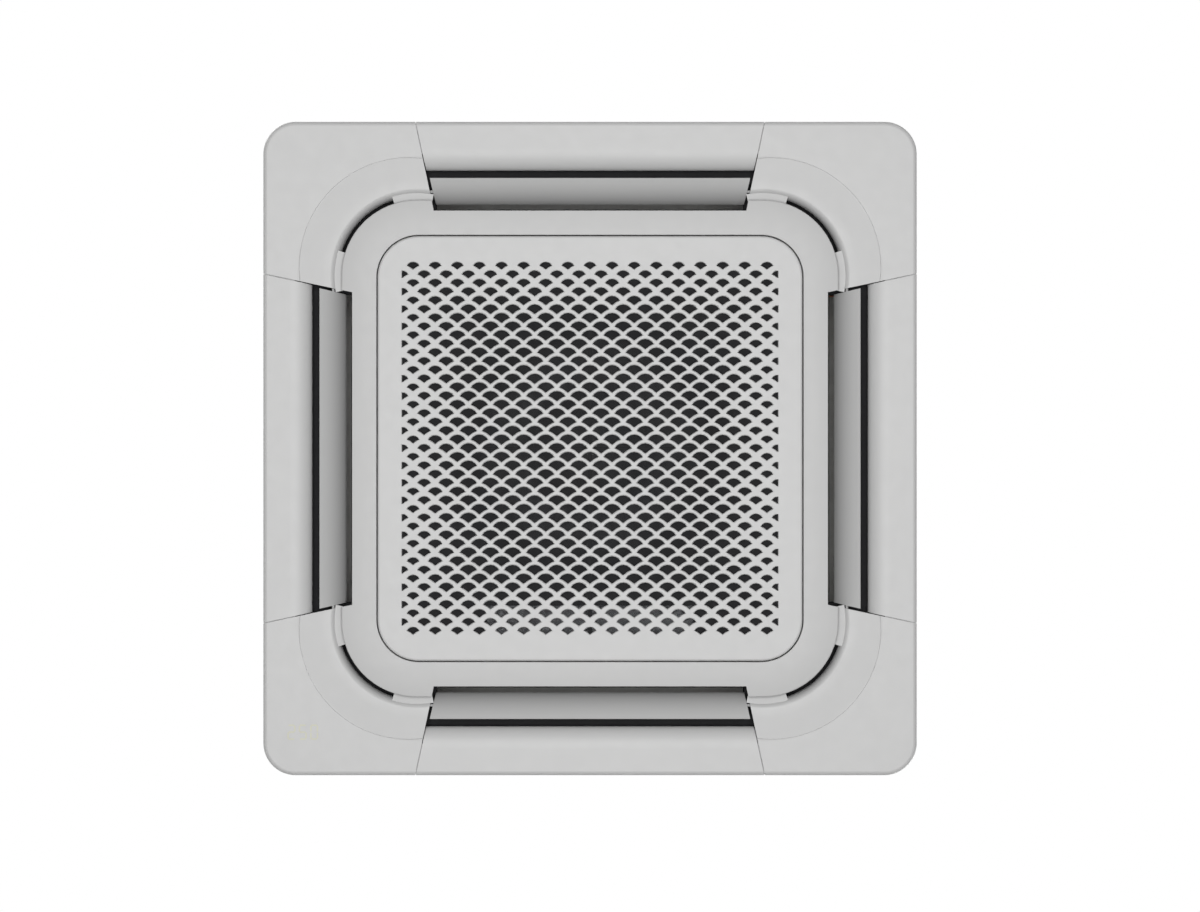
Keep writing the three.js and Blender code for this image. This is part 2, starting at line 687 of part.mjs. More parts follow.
/** The rail that the grille swings on. Its two arms slide down in guides as the grille opens. */
function hingeRail() {
  const half = HINGE_ARM_THICKNESS / 2;
  const depth = HINGE_ARM_WIDTH / 2;
  const bar = box(
    -HINGE_SPREAD, HINGE_SPREAD, hingeY - depth / 2, hingeY + depth / 2, railFloor, railTop);
  let rail = solid(bar);
  [-1, 1].forEach((side) => {
    const x = side * HINGE_SPREAD;
    const arm = box(x - half, x + half, hingeY - depth, hingeY + depth, hingeZ, armHead + 1);
    const head = box(
      x - half - 2, x + half + 2, hingeY - depth - 2, hingeY + depth + 2,
      armHead, armHead + GUIDE_WALL - 0.5);
    const eye = rodAlongX(depth, x - half, x + half, 14).translate(0, hingeY, hingeZ);
    const bore = rodAlongX(HINGE_PIN_RADIUS + HINGE_RUNNING_GAP, x - 2 * half, x + 2 * half);
    rail = join(rail, solid(arm), solid(head), solid(eye));
    rail = rail.subtract(solid(bore.translate(0, hingeY, hingeZ)));
  });
  return rail;
}

/** The guide sleeve in the frame for one of the rail's arms, and the slot through it. */
function railGuide(x) {
  const grown = (margin, from, to) => solid(box(
    x - HINGE_ARM_THICKNESS / 2 - margin, x + HINGE_ARM_THICKNESS / 2 + margin,
    hingeY - HINGE_ARM_WIDTH / 2 - margin, hingeY + HINGE_ARM_WIDTH / 2 + margin, from, to));
  const sleeve = grown(HINGE_RUNNING_GAP + GUIDE_WALL, railTop + 2, baseFloor + 1);
  const slot = grown(HINGE_RUNNING_GAP, railTop, BASE_TOP + 1);
  return { sleeve, slot };
}

const catchY = GRILLE_HALF - CATCH_INSET;
const catchHead = baseFloor + 1;
const catchStop = catchHead + CATCH_TRAVEL + FIT;

function panelFrame() {
  const plateRadius = (half) => Math.max(PANEL_CORNER_RADIUS - (PANEL_HALF - half), 1);
  const innerRadius = GRILLE_CORNER_RADIUS - (GRILLE_HALF - BASE_INNER);
  const base = squareLoft([
    [BASE_HALF, plateRadius(BASE_HALF), baseFloor],
    [BASE_HALF, plateRadius(BASE_HALF), BASE_TOP],
    [BASE_INNER, innerRadius, BASE_TOP],
    [BASE_INNER, innerRadius, baseFloor],
  ], true);
  const rimInner = RIM_HALF - RIM_WALL;
  const rim = squareLoft([
    [RIM_HALF, plateRadius(RIM_HALF), baseFloor + 1],
    [RIM_HALF, plateRadius(RIM_HALF), 0],
    [rimInner, plateRadius(rimInner), 0],
    [rimInner, plateRadius(rimInner), baseFloor + 1],
  ], true);
  let frame = join(solid(base), solid(rim), ring());
  const turns = [0, 1, 2, 3];
  turns.forEach((k) => {
    frame = join(frame, duct().rotate([0, 0, 90 * k]));
  });
  turns.forEach((k) => {
    frame = join(frame, ...grooveFloors().map((floor) => floor.rotate([0, 0, 90 * k])));
    frame = cut(frame, ...ductRoom().map((room) => room.rotate([0, 0, 90 * k])));
    const arc = prism(
      arcBand(ARC_INNER, ARC_OUTER, ARC_FROM, ARC_TO), baseFloor - 1, BASE_TOP + 1);
    const screwHole = disc(PANEL_SCREW_RADIUS + 0.4, baseFloor - 1, BASE_TOP + 1, 8);
    screwHole.translate(PANEL_SCREW_AT, PANEL_SCREW_AT, 0);
    frame = cut(frame, solid(arc).rotate([0, 0, 90 * k]), solid(screwHole).rotate([0, 0, 90 * k]));
  });
  [-1, 1].forEach((side) => {
    const boss = disc(
      CATCH_BOSS_RADIUS, baseFloor - CATCH_BOSS_LENGTH, catchStop + CATCH_CAP, 16);
    const bore = disc(
      CATCH_RADIUS + 0.4, baseFloor - CATCH_BOSS_LENGTH - 1, catchStop, 16);
    frame = join(frame, solid(boss.translate(side * CATCH_SPREAD, catchY, 0)));
    frame = cut(frame, solid(bore.translate(side * CATCH_SPREAD, catchY, 0)));
    const guide = railGuide(side * HINGE_SPREAD);
    frame = cut(join(frame, guide.sleeve), guide.slot);
  });
  return frame;
}

// ---------------------------------------------------------------- air vanes

/** The vane's curve at rest as [u, z] points, bellied down and inwards, at a depth in its wall. */
function vaneArc(depth) {
  const halfTurn = (VANE_TURN / 2) * DEG;
  const radius = VANE_CHORD / 2 / Math.sin(halfTurn);
  const belly = (-90 - VANE_TILT) * DEG;
  const back = radius * Math.cos(halfTurn);
  const centre = [VANE_AXIS_U - back * Math.cos(belly), vaneAxisZ - back * Math.sin(belly)];
  const points = [];
  for (let i = 0; i <= VANE_STEPS; i += 1) {
    const angle = belly - halfTurn + (i / VANE_STEPS) * 2 * halfTurn;
    points.push([
      centre[0] + (radius - depth) * Math.cos(angle),
      centre[1] + (radius - depth) * Math.sin(angle),
    ]);
  }
  return points;
}

function vane() {
  const skin = sideSweep([...vaneArc(0), ...vaneArc(VANE_THICKNESS).reverse()], VANE_END_GAP);
  const pinEnd = seamAt(VANE_AXIS_U) + SEAM_GAP / 2 + DUCT_WALL;
  const ribs = [-1, 1].map((side) => {
    const from = side > 0 ? VANE_RIB_AT - VANE_RIB : -VANE_RIB_AT;
    const section = vaneArc(VANE_THICKNESS / 2);
    const web = loft([from, from + VANE_RIB].map((t) => section.map(([u, z]) => [u, t, z])));
    const boss = rodAlongT(2 * VANE_PIN_RADIUS, from, from + VANE_RIB);
    return join(solid(web), solid(boss.translate(VANE_AXIS_U, 0, vaneAxisZ)));
  });
  const freePin = rodAlongT(VANE_PIN_RADIUS, VANE_RIB_AT - 1, pinEnd);
  const drivenPin = rodAlongT(VANE_PIN_RADIUS, -vaneMotorNear - 4, 1 - VANE_RIB_AT);
  const pins = [freePin, drivenPin].map((pin) => solid(pin.translate(VANE_AXIS_U, 0, vaneAxisZ)));
  return join(solid(skin), ...ribs, ...pins);
}

function vaneMotor() {
  const body = rodAlongT(VANE_MOTOR_RADIUS, -vaneMotorFar, -vaneMotorNear, 20);
  body.translate(VANE_AXIS_U, 0, vaneAxisZ + VANE_MOTOR_OFFSET);
  const socket = rodAlongT(bearingRadius, -vaneMotorNear - 6, 1 - vaneMotorNear);
  return solid(body).subtract(solid(socket.translate(VANE_AXIS_U, 0, vaneAxisZ)));
}

// ---------------------------------------------------------------- intake grille and filter

/** One opening of the lattice, a plain diamond: the rows stand at twice the real spacing. */
function latticeOpening(x, y) {
  const a = OPENING_WIDTH / 2;
  const b = OPENING_HEIGHT / 2;
  return [[x - a, y], [x, y - b], [x + a, y], [x, y + b]];
}

function lattice() {
  const holes = [];
  for (let row = 0; row < LATTICE_ROWS; row += 1) {
    const shifted = row % 2 === 1;
    const y = (row - (LATTICE_ROWS - 1) / 2) * LATTICE_ROW;
    const columns = shifted ? LATTICE_COLUMNS : LATTICE_COLUMNS + 1;
    for (let column = 0; column < columns; column += 1) {
      holes.push(latticeOpening((column - (columns - 1) / 2) * LATTICE_PITCH, y));
    }
  }
  const reach = LATTICE_HALF + 2;
  const outline = [[-reach, -reach], [reach, -reach], [reach, reach], [-reach, reach]];
  return prism(outline, grilleFloor, grilleBack, holes);
}

function intakeGrille() {
  const radius = (half) => GRILLE_CORNER_RADIUS - (GRILLE_HALF - half);
  const bend = GRILLE_EDGE_RADIUS * (1 - Math.SQRT1_2);
  const rimTop = grilleFloor + GRILLE_RIM_HEIGHT;
  const wallInner = GRILLE_HALF - GRILLE_RIM_WALL;
  const sections = [
    [LATTICE_HALF, grilleFloor],
    [GRILLE_HALF - GRILLE_EDGE_RADIUS, grilleFloor],
    [GRILLE_HALF - bend, grilleFloor + bend],
    [GRILLE_HALF, grilleFloor + GRILLE_EDGE_RADIUS],
    [GRILLE_HALF, rimTop],
    [wallInner, rimTop],
    [wallInner, grilleBack],
    [LATTICE_HALF, grilleBack],
  ];
  let grille = join(
    solid(squareLoft(sections.map(([half, z]) => [half, radius(half), z]), true)), latticeBody());
  const notchHalf = HINGE_ARM_THICKNESS / 2 + 2;
  const earHalf = HINGE_ARM_WIDTH / 2;
  [-1, 1].forEach((side) => {
    const x = side * HINGE_SPREAD;
    const notch = box(
      x - notchHalf, x + notchHalf, -GRILLE_HALF - 1, -wallInner + 1,
      grilleBack, rimTop + 1);
    grille = grille.subtract(solid(notch));
    [-1, 1].forEach((hand) => {
      const near = x + hand * HINGE_EAR_GAP;
      const far = near + hand * HINGE_EAR_WIDTH;
      const ear = box(
        Math.min(near, far), Math.max(near, far),
        hingeY - earHalf, hingeY + earHalf,
        grilleBack - 1, hingeZ + HINGE_PIN_RADIUS + 1);
      grille = grille.add(solid(ear));
    });
    const pin = rodAlongX(HINGE_PIN_RADIUS, x - HINGE_EAR_GAP - 1, x + HINGE_EAR_GAP + 1);
    grille = grille.add(solid(pin.translate(0, hingeY, hingeZ)));
  });
  return grille;
}

/** The lattice with its corners rounded to stay inside the rim. */
function latticeBody() {
  const reach = LATTICE_HALF + 1;
  const radius = GRILLE_CORNER_RADIUS - (GRILLE_HALF - reach);
  const within = prism(roundedSquare(reach, radius), grilleFloor - 1, grilleBack + 1);
  return solid(lattice()).intersect(solid(within));
}

const filterFloor = grilleBack + FIT;

function filterFrame() {
  const opening = FILTER_HALF - FILTER_BAR;
  const outline = (half) => [[-half, -half], [half, -half], [half, half], [-half, half]];
  const frame = solid(prism(
    outline(FILTER_HALF), filterFloor, filterFloor + FILTER_HEIGHT, [outline(opening)]));
  const corners = prism(
    roundedSquare(FILTER_HALF, GRILLE_CORNER_RADIUS - (GRILLE_HALF - FILTER_HALF)),
    filterFloor - 1, filterFloor + FILTER_HEIGHT + 1);
  const barHalf = FILTER_BAR / 4;
  const across = box(-opening - 1, opening + 1, -barHalf, barHalf, filterFloor + 2,
    filterFloor + FILTER_HEIGHT);
  const along = box(-barHalf, barHalf, -opening - 1, opening + 1, filterFloor + 2,
    filterFloor + FILTER_HEIGHT);
  return join(frame.intersect(solid(corners)), solid(across), solid(along));
}

function filterMesh() {
  const half = FILTER_HALF - FILTER_BAR - FIT;
  return box(-half, half, -half, half, filterFloor, filterFloor + FILTER_MESH_THICKNESS);
}

function pushCatch(side) {
  const foot = grilleFloor + GRILLE_RIM_HEIGHT + FIT;
  return disc(CATCH_RADIUS, foot, catchHead, 16).translate(side * CATCH_SPREAD, catchY, 0);
}

// ---------------------------------------------------------------- cabinet

const caseFace = (2 * CASE_HALF - CASE_CHAMFER) / Math.SQRT2; // centre to a chamfered corner

function pipeHoles(from, to, clearance) {
  const hole = (radius, z) => solid(
    rodAlongX(radius + clearance, from, to, 16).translate(0, PIPE_EXIT_Y, z));
  return [hole(GAS_PIPE_RADIUS, GAS_PIPE_HEIGHT), hole(LIQUID_PIPE_RADIUS, LIQUID_PIPE_HEIGHT)];
}

function drainHole() {
  const hole = rodAlongT(DRAIN_SOCKET_RADIUS + 0.4, -CASE_HALF - 20, -CASE_HALF + 40, 16);
  return solid(hole.translate(DRAIN_EXIT_X, 0, DRAIN_HEIGHT));
}

function cabinetShell() {
  const outer = solid(prism(octagon(0), CASE_FLOOR, plateTop));
  const inner = solid(prism(octagon(CASE_SHEET), CASE_FLOOR + CASE_SHEET, plateFloor));
  const mouth = solid(prism(octagon(CASE_FLANGE), CASE_FLOOR - 1, CASE_FLOOR + 2 * CASE_SHEET));
  const emboss = solid(turned([
    [0, plateTop - 0.5], [EMBOSS_RADIUS + CASE_EMBOSS, plateTop - 0.5],
    [EMBOSS_RADIUS + CASE_EMBOSS, plateTop], [EMBOSS_RADIUS, caseTop], [0, caseTop],
  ], 24));
  const shell = cut(outer, inner, mouth);
  const room = 3;
  const holes = pipeHoles(CASE_HALF - 20, CASE_HALF + 20, room);
  return cut(join(shell, emboss), ...holes, drainHole());
}

const liningOuter = CASE_SHEET + FIT;
const liningInner = liningOuter + LINING;
const liningFloor = CASE_FLOOR + CASE_SHEET + FIT;
const liningTop = plateFloor - FIT;

function cabinetLining() {
  const outer = solid(prism(octagon(liningOuter), liningFloor, liningTop));
  const inner = solid(prism(octagon(liningInner), liningFloor - 1, liningTop - LINING));
  const motorHole = solid(disc(LINING_MOTOR_HOLE, liningTop - 2 * LINING, liningTop + 1, 24));
  const room = 3;
  const holes = pipeHoles(CASE_HALF - 40, CASE_HALF, room);
  return cut(outer, inner, motorHole, ...holes, drainHole());
}

/** A hanger bracket for the corner in the (+X, +Y) quarter, flat against the chamfered face. */
function hangerBracket() {
  const back = caseFace + FIT;
  const rodAcross = (ROD_PITCH_X / 2 + ROD_PITCH_Y / 2) / Math.SQRT2;
  const rodAlong = (ROD_PITCH_Y - ROD_PITCH_X) / 2 / Math.SQRT2;
  const screwAcross = PANEL_SCREW_AT * Math.SQRT2;
  const lugHalf = HANGER_WIDTH / 3.6;
  const plateFrom = -HANGER_WIDTH / 3;
  const plate = box(back, back + HANGER_SHEET, plateFrom, plateFrom + HANGER_WIDTH,
    CASE_FLOOR, CASE_FLOOR + HANGER_HEIGHT);
  const lugTop = CASE_FLOOR + HANGER_HEIGHT;
  const lug = box(back, back + HANGER_REACH, rodAlong - lugHalf, rodAlong + lugHalf,
    lugTop - HANGER_SHEET, lugTop);
  const foot = box(back, back + HANGER_REACH - 10, -lugHalf / 2, lugHalf / 2,
    CASE_FLOOR, CASE_FLOOR + HANGER_SHEET);
  const rodHole = disc(ROD_HOLE_RADIUS, lugTop - 10, lugTop + 10, 10);
  const screwHole = disc(PANEL_SCREW_RADIUS + 0.4, CASE_FLOOR - 10, CASE_FLOOR + 10, 8);
  const bracket = cut(
    join(solid(plate), solid(lug), solid(foot)),
    solid(rodHole.translate(rodAcross, rodAlong, 0)), solid(screwHole.translate(screwAcross, 0, 0)));
  return bracket.rotate([0, 0, 45]);
}

function panelScrew() {
  const headTop = baseFloor - FIT;
  const tip = CASE_FLOOR + HANGER_SHEET + 2;
  const screw = turned([
    [0, headTop - 3], [PANEL_SCREW_HEAD - 1, headTop - 3], [PANEL_SCREW_HEAD, headTop],
    [PANEL_SCREW_RADIUS, headTop], [PANEL_SCREW_RADIUS, tip], [0, tip],
  ], 8);
  return screw.translate(PANEL_SCREW_AT, PANEL_SCREW_AT, 0);
}

function panelSeal() {
  const inset = 3;
  const width = 8;
  return prism(
    octagon(inset), BASE_TOP + FIT, CASE_FLOOR - FIT, [octagon(inset + width).reverse()]);
}

// ---------------------------------------------------------------- drain pan and heat exchanger

function drainPan() {
  const block = solid(prism(octagon(liningInner + FIT), panFloor, panTop));
  const cornerRadius = COIL_OUTER_RADIUS - (COIL_OUTER - PAN_OPENING) + COIL_DEPTH / 2;
  const opening = solid(prism(roundedSquare(PAN_OPENING, cornerRadius), panFloor - 1, panTop + 1));
  const troughOuter = COIL_OUTER + TROUGH_WALL;
  const troughInner = coilInner - TROUGH_WALL;
  const troughRadius = (half) => COIL_OUTER_RADIUS - (COIL_OUTER - half);
  const trough = solid(squareLoft([
    [troughOuter, troughRadius(troughOuter), troughFloor],
    [troughOuter, troughRadius(troughOuter), panTop + 1],
    [troughInner, troughRadius(troughInner), panTop + 1],
    [troughInner, troughRadius(troughInner), troughFloor],
  ], true));
  const pumpRoom = PUMP_RADIUS + TROUGH_WALL - 2;
  const sump = solid(box(
    PUMP_AT - pumpRoom, PUMP_AT + pumpRoom, -PUMP_AT - pumpRoom, -PUMP_AT + pumpRoom,
    troughFloor, panTop + 1));
  const slot = solid(box(
    PAN_SLOT_INNER, PAN_SLOT_OUTER, -PAN_SLOT_LENGTH / 2, PAN_SLOT_LENGTH / 2,
    panFloor - 1, panTop + 1));
  const plugHole = solid(
    disc(PLUG_RADIUS + 0.4, panFloor - 1, troughFloor + 1, 16).translate(PLUG_AT, -PLUG_AT, 0));
  const slots = [0, 1, 2, 3].map((k) => slot.rotate([0, 0, 90 * k]));
  return cut(block, opening, trough, sump, plugHole, ...slots);
}

function drainPlug() {
  const plug = turned([
    [0, panFloor - 5], [PLUG_RADIUS + 4, panFloor - 5], [PLUG_RADIUS + 4, panFloor - FIT],
    [PLUG_RADIUS, panFloor - FIT], [PLUG_RADIUS - 1, troughFloor - 1], [0, troughFloor - 1],
  ], 16);
  return plug.translate(PLUG_AT, -PLUG_AT, 0);
}

/** The finned block, bent round the fan with an open corner for the pipes and the pump. */
function heatExchanger() {
  const outer = roundedSquare(COIL_OUTER, COIL_OUTER_RADIUS);
  const inner = roundedSquare(coilInner, COIL_OUTER_RADIUS - COIL_DEPTH).reverse();
  const block = solid(prism(outer, coilFloor, coilFloor + COIL_HEIGHT, [inner]));
  const openCorner = solid(box(
    COIL_END, COIL_OUTER + 1, -COIL_OUTER - 1, -COIL_END, coilFloor - 1, coilFloor + COIL_HEIGHT + 1));
  return block.subtract(openCorner);
}

/** A tube sheet with its return bends, for the coil's end on the right side, facing the rear. */
function coilEndPlate() {
  const face = -COIL_END - FIT;
  const middle = COIL_OUTER - COIL_DEPTH / 2;
  const half = COIL_DEPTH / 2 + END_PLATE_MARGIN;
  let plate = solid(box(
    middle - half, middle + half, face - END_PLATE, face, coilFloor, coilFloor + COIL_HEIGHT));
  const pitch = COIL_HEIGHT / RETURN_BENDS;
  for (let bend = 0; bend < RETURN_BENDS; bend += 1) {
    const halfRing = new THREE.TorusGeometry(RETURN_BEND_RADIUS, COIL_TUBE_RADIUS, 5, 8);
    halfRing.rotateY(90 * DEG);
    halfRing.translate(middle - COIL_DEPTH / 4, face - END_PLATE, coilFloor + pitch * (bend + 0.5));
    const outside = box(0, CASE_HALF, -CASE_HALF, face - END_PLATE / 2, 0, caseTop);
    plate = plate.add(solid(halfRing).intersect(solid(outside)));
  }
  return plate;
}

// ---------------------------------------------------------------- pipes, pump and drain

const pipeEnd = CASE_HALF + PIPE_REACH;
const headerX = COIL_OUTER - COIL_DEPTH / 2 + 2;
const headerY = -COIL_END - 29;

function gasPipe() {
  const header = disc(9, coilFloor + 10, coilFloor + COIL_HEIGHT - 5, 12);
  const run = tube([
    [headerX, headerY, GAS_PIPE_HEIGHT],
    [headerX + 6, PIPE_EXIT_Y + 5, GAS_PIPE_HEIGHT],
    [headerX + 24, PIPE_EXIT_Y, GAS_PIPE_HEIGHT],
    [CASE_HALF - 40, PIPE_EXIT_Y, GAS_PIPE_HEIGHT],
    [pipeEnd, PIPE_EXIT_Y, GAS_PIPE_HEIGHT],
  ], GAS_PIPE_RADIUS, 14, 8);
  return join(solid(header.translate(headerX, headerY, 0)), solid(run));
}

function liquidPipe() {
  const startX = COIL_END + 20;
  const startY = -COIL_OUTER + COIL_DEPTH / 2 + 4;
  return tube([
    [startX, startY, LIQUID_PIPE_HEIGHT],
    [startX + 12, startY + 22, LIQUID_PIPE_HEIGHT],
    [startX + 56, startY + 58, LIQUID_PIPE_HEIGHT],
    [headerX + 20, PIPE_EXIT_Y, LIQUID_PIPE_HEIGHT],
    [CASE_HALF - 40, PIPE_EXIT_Y, LIQUID_PIPE_HEIGHT],
    [pipeEnd, PIPE_EXIT_Y, LIQUID_PIPE_HEIGHT],
  ], LIQUID_PIPE_RADIUS, 18, 6);
}

function flareNut(pipeRadius, across, z) {
  const from = pipeEnd - NUT_LENGTH / 2;
  const to = pipeEnd + NUT_LENGTH / 2;
  const hexagon = rodAlongX(across, from, to, 6);
  const bore = rodAlongX(pipeRadius + 0.6, from - 1, to + 1, 12);
  return solid(hexagon).subtract(solid(bore)).translate([0, PIPE_EXIT_Y, z]);
}

function pipePlate() {
  const middle = (GAS_PIPE_HEIGHT + LIQUID_PIPE_HEIGHT) / 2;
  const from = CASE_HALF + FIT;
  const plate = solid(box(
    from, from + PIPE_PLATE_SHEET,
    PIPE_EXIT_Y - PIPE_PLATE_WIDTH / 2, PIPE_EXIT_Y + PIPE_PLATE_WIDTH / 2,
    middle - PIPE_PLATE_HEIGHT / 2, middle + PIPE_PLATE_HEIGHT / 2));
  return cut(plate, ...pipeHoles(from - 1, from + PIPE_PLATE_SHEET + 1, 0.4));
}

const pumpFloor = troughFloor + FIT;
const chamberRoom = PUMP_CHAMBER_RADIUS - 2.5;

function drainPump() {
  const top = pumpFloor + PUMP_BODY_HEIGHT;
  const neck = pumpFloor + PUMP_CHAMBER_HEIGHT;
  const body = solid(turned([
    [0, pumpFloor], [PUMP_CHAMBER_RADIUS, pumpFloor], [PUMP_CHAMBER_RADIUS, neck],
    [PUMP_RADIUS, neck + 4], [PUMP_RADIUS, top], [0, top],
  ], 16));
  const chamber = solid(disc(chamberRoom, pumpFloor + 5, neck - 2, 16));
  const intake = solid(disc(chamberRoom / 2, pumpFloor - 1, pumpFloor + 6, 8));
  const notch = box(-PUMP_CHAMBER_RADIUS - 1, PUMP_CHAMBER_RADIUS + 1, -3, 3, pumpFloor - 1,
    pumpFloor + 3);
  const across = notch.clone().rotateZ(90 * DEG);
  return cut(body, chamber, intake, solid(notch), solid(across)).translate([PUMP_AT, -PUMP_AT, 0]);
}

function pumpRotor() {
  const from = pumpFloor + 6;
  const to = pumpFloor + PUMP_CHAMBER_HEIGHT - 2 - FIT;
  let rotor = solid(disc(3, from, to, 12));
  for (let blade = 0; blade < PUMP_ROTOR_BLADES / 2; blade += 1) {
    const web = box(-PUMP_ROTOR_RADIUS, PUMP_ROTOR_RADIUS, -0.8, 0.8, from, to);
    rotor = rotor.add(solid(web).rotate([0, 0, (360 / PUMP_ROTOR_BLADES) * blade]));
  }
  return rotor.translate([PUMP_AT, -PUMP_AT, 0]);
}

const stemTop = pumpFloor + PUMP_BODY_HEIGHT - 6;
const floatRest = pumpFloor + 6;
const floatStop = floatRest + FLOAT_HEIGHT + FLOAT_TRAVEL + FIT;

/** The float switch's stem with its stop, and the arm that ties it to the pump. */
function floatSwitch() {
  const stem = turned([
    [0, pumpFloor], [7, pumpFloor], [7, floatRest - FIT], [FLOAT_STEM_RADIUS, floatRest - FIT],
    [FLOAT_STEM_RADIUS, floatStop], [9, floatStop], [9, stemTop], [0, stemTop],
  ], 12).translate(FLOAT_X, FLOAT_Y, 0);
  const armEnd = PUMP_AT - PUMP_RADIUS - FIT;
  const armY = -PUMP_AT - 5;
  const arm = box(FLOAT_X, armEnd, armY - 5, armY + 5, stemTop - 6, stemTop);
  return solid(stem).add(solid(arm));
}

function float() {
  return washer(
    FLOAT_STEM_RADIUS + 0.5, FLOAT_RADIUS, floatRest, floatRest + FLOAT_HEIGHT, 16,
  ).translate(FLOAT_X, FLOAT_Y, 0);
}

function drainHose() {
  const start = pumpFloor + PUMP_BODY_HEIGHT + FIT;
  return tube([
    [PUMP_AT, -PUMP_AT, start],
    [PUMP_AT, -PUMP_AT, start + 40],
    [PUMP_AT - 6, -PUMP_AT - 14, DRAIN_HEIGHT - 18],
    [(PUMP_AT + DRAIN_EXIT_X) / 2 - 6, -PUMP_AT - 60, DRAIN_HEIGHT],
    [DRAIN_EXIT_X, -CASE_HALF + 34, DRAIN_HEIGHT],
    [DRAIN_EXIT_X, -CASE_HALF + 12, DRAIN_HEIGHT],
  ], HOSE_RADIUS, 18, 8);
}

function drainSocket() {
  const inner = -CASE_HALF + 20;
  const face = CASE_HALF + FIT;
  const pipe = turnedRing([
    [DRAIN_SOCKET_BORE, -inner], [DRAIN_SOCKET_RADIUS, -inner],
    [DRAIN_SOCKET_RADIUS, face], [DRAIN_SOCKET_RADIUS + 8, face],
    [DRAIN_SOCKET_RADIUS + 8, face + 3], [DRAIN_SOCKET_RADIUS, face + 3],
    [DRAIN_SOCKET_RADIUS, -inner + DRAIN_SOCKET_LENGTH],
    [DRAIN_SOCKET_BORE, -inner + DRAIN_SOCKET_LENGTH],
  ], 14);
  return pipe.rotateX(90 * DEG).translate(DRAIN_EXIT_X, 0, DRAIN_HEIGHT);
}

// ---------------------------------------------------------------- fan

function fanMotor() {
  const top = plateFloor - FIT;
  const flange = 3;
  const body = solid(turned([
    [0, MOTOR_FLOOR_HEIGHT], [MOTOR_RADIUS - 10, MOTOR_FLOOR_HEIGHT],
    [MOTOR_RADIUS, MOTOR_FLOOR_HEIGHT + 8], [MOTOR_RADIUS, top], [0, top],
  ], 24));
  let motor = body;
  for (let lug = 0; lug < MOTOR_LUGS; lug += 1) {
    const arm = box(MOTOR_RADIUS - 5, MOTOR_LUG_RADIUS + 8, -9, 9, top - flange, top);
    motor = motor.add(solid(arm).rotate([0, 0, (360 / MOTOR_LUGS) * lug]));
  }
  const bore = disc(SHAFT_RADIUS + 0.3, MOTOR_FLOOR_HEIGHT - 1, MOTOR_FLOOR_HEIGHT + 20, 12);
  return motor.subtract(solid(bore));
}

const bossFloor = HUB_FLOOR_HEIGHT - 3;
const shaftEnd = bossFloor - FAN_NUT_HEIGHT - 4;

function motorShaft() {
  return disc(SHAFT_RADIUS, shaftEnd, MOTOR_FLOOR_HEIGHT + 19, 12);
}

function fanNut() {
  const top = bossFloor - FIT;
  const hexagon = disc(FAN_NUT_RADIUS, top - FAN_NUT_HEIGHT, top, 6);
  const bore = disc(SHAFT_RADIUS + 0.3, top - FAN_NUT_HEIGHT - 1, top + 1, 12);
  return solid(hexagon).subtract(solid(bore));
}

const bellTop = bellFloor + BELL_RISE;
const shroudFloor = bellTop - 17;

/** The shroud's lower skin, from the inlet's lip out to the rim, as [radius, z]. */
function shroudCurve(lift) {
  const steps = 4;
  const span = IMPELLER_RADIUS - SHROUD_INLET;
  const rise = 54;
  const points = [];
  for (let i = 0; i <= steps; i += 1) {
    const angle = (i / steps) * 90 * DEG;
    points.push([
      SHROUD_INLET + span * (1 - Math.cos(angle)) + (i === 0 ? lift : 0),
      shroudFloor + rise * Math.sin(angle) + (i === 0 ? 0 : lift),
    ]);
  }
  return points;
}

function impeller() {
  const boss = 14;
  const rimFloor = HUB_DISC_HEIGHT;
  const bore = SHAFT_RADIUS + 0.3;
  const hub = solid(turnedRing([
    [bore, bossFloor], [boss, bossFloor], [boss, HUB_FLOOR_HEIGHT], [40, HUB_FLOOR_HEIGHT + 2],
    [HUB_CUP_RADIUS, rimFloor - 9], [HUB_CUP_RADIUS + 12, rimFloor], [IMPELLER_RADIUS, rimFloor],
    [IMPELLER_RADIUS, rimFloor + IMPELLER_WALL], [HUB_CUP_RADIUS + 11, rimFloor + IMPELLER_WALL],
    [HUB_CUP_RADIUS - 3, rimFloor - 6], [38, HUB_FLOOR_HEIGHT + 5],
    [boss, HUB_FLOOR_HEIGHT + 14], [bore, HUB_FLOOR_HEIGHT + 14],
  ], 24));
  const skin = shroudCurve(0);
  const shroud = solid(turnedRing([...skin, ...shroudCurve(IMPELLER_WALL).reverse()], 24));
  const below = solid(turnedRing([
    ...skin.map(([r, z]) => [r + 0.5, z]),
    [IMPELLER_RADIUS + 9, skin[skin.length - 1][1]], [IMPELLER_RADIUS + 9, shroudFloor - 9],
    [SHROUD_INLET + 0.5, shroudFloor - 9],
  ], 24));
  const blade = bladeBody().subtract(below);
  const blades = [];
  for (let i = 0; i < IMPELLER_BLADES; i += 1) {
    blades.push(blade.rotate([0, 0, (360 / IMPELLER_BLADES) * i]));
  }
  return join(hub, shroud, ...blades);
}

/** One backward-swept blade: a curved plate from the inlet to the rim, thinned at both edges. */
function bladeBody() {
  const steps = 4;
  const front = [];
  const back = [];
  for (let i = 0; i <= steps; i += 1) {
    const share = i / steps;
    const radius = BLADE_INNER + (IMPELLER_RADIUS - 1 - BLADE_INNER) * share;
    const angle = -BLADE_SWEEP * DEG * share ** 1.2;
    const half = (BLADE_THICKNESS / 2) * (0.35 + Math.sin(Math.PI * share));
    const across = half / radius;
    front.push([radius * Math.cos(angle + across), radius * Math.sin(angle + across)]);
    back.push([radius * Math.cos(angle - across), radius * Math.sin(angle - across)]);
  }
  return solid(prism([...front, ...back.reverse()], shroudFloor + 22, HUB_DISC_HEIGHT + 1));
}

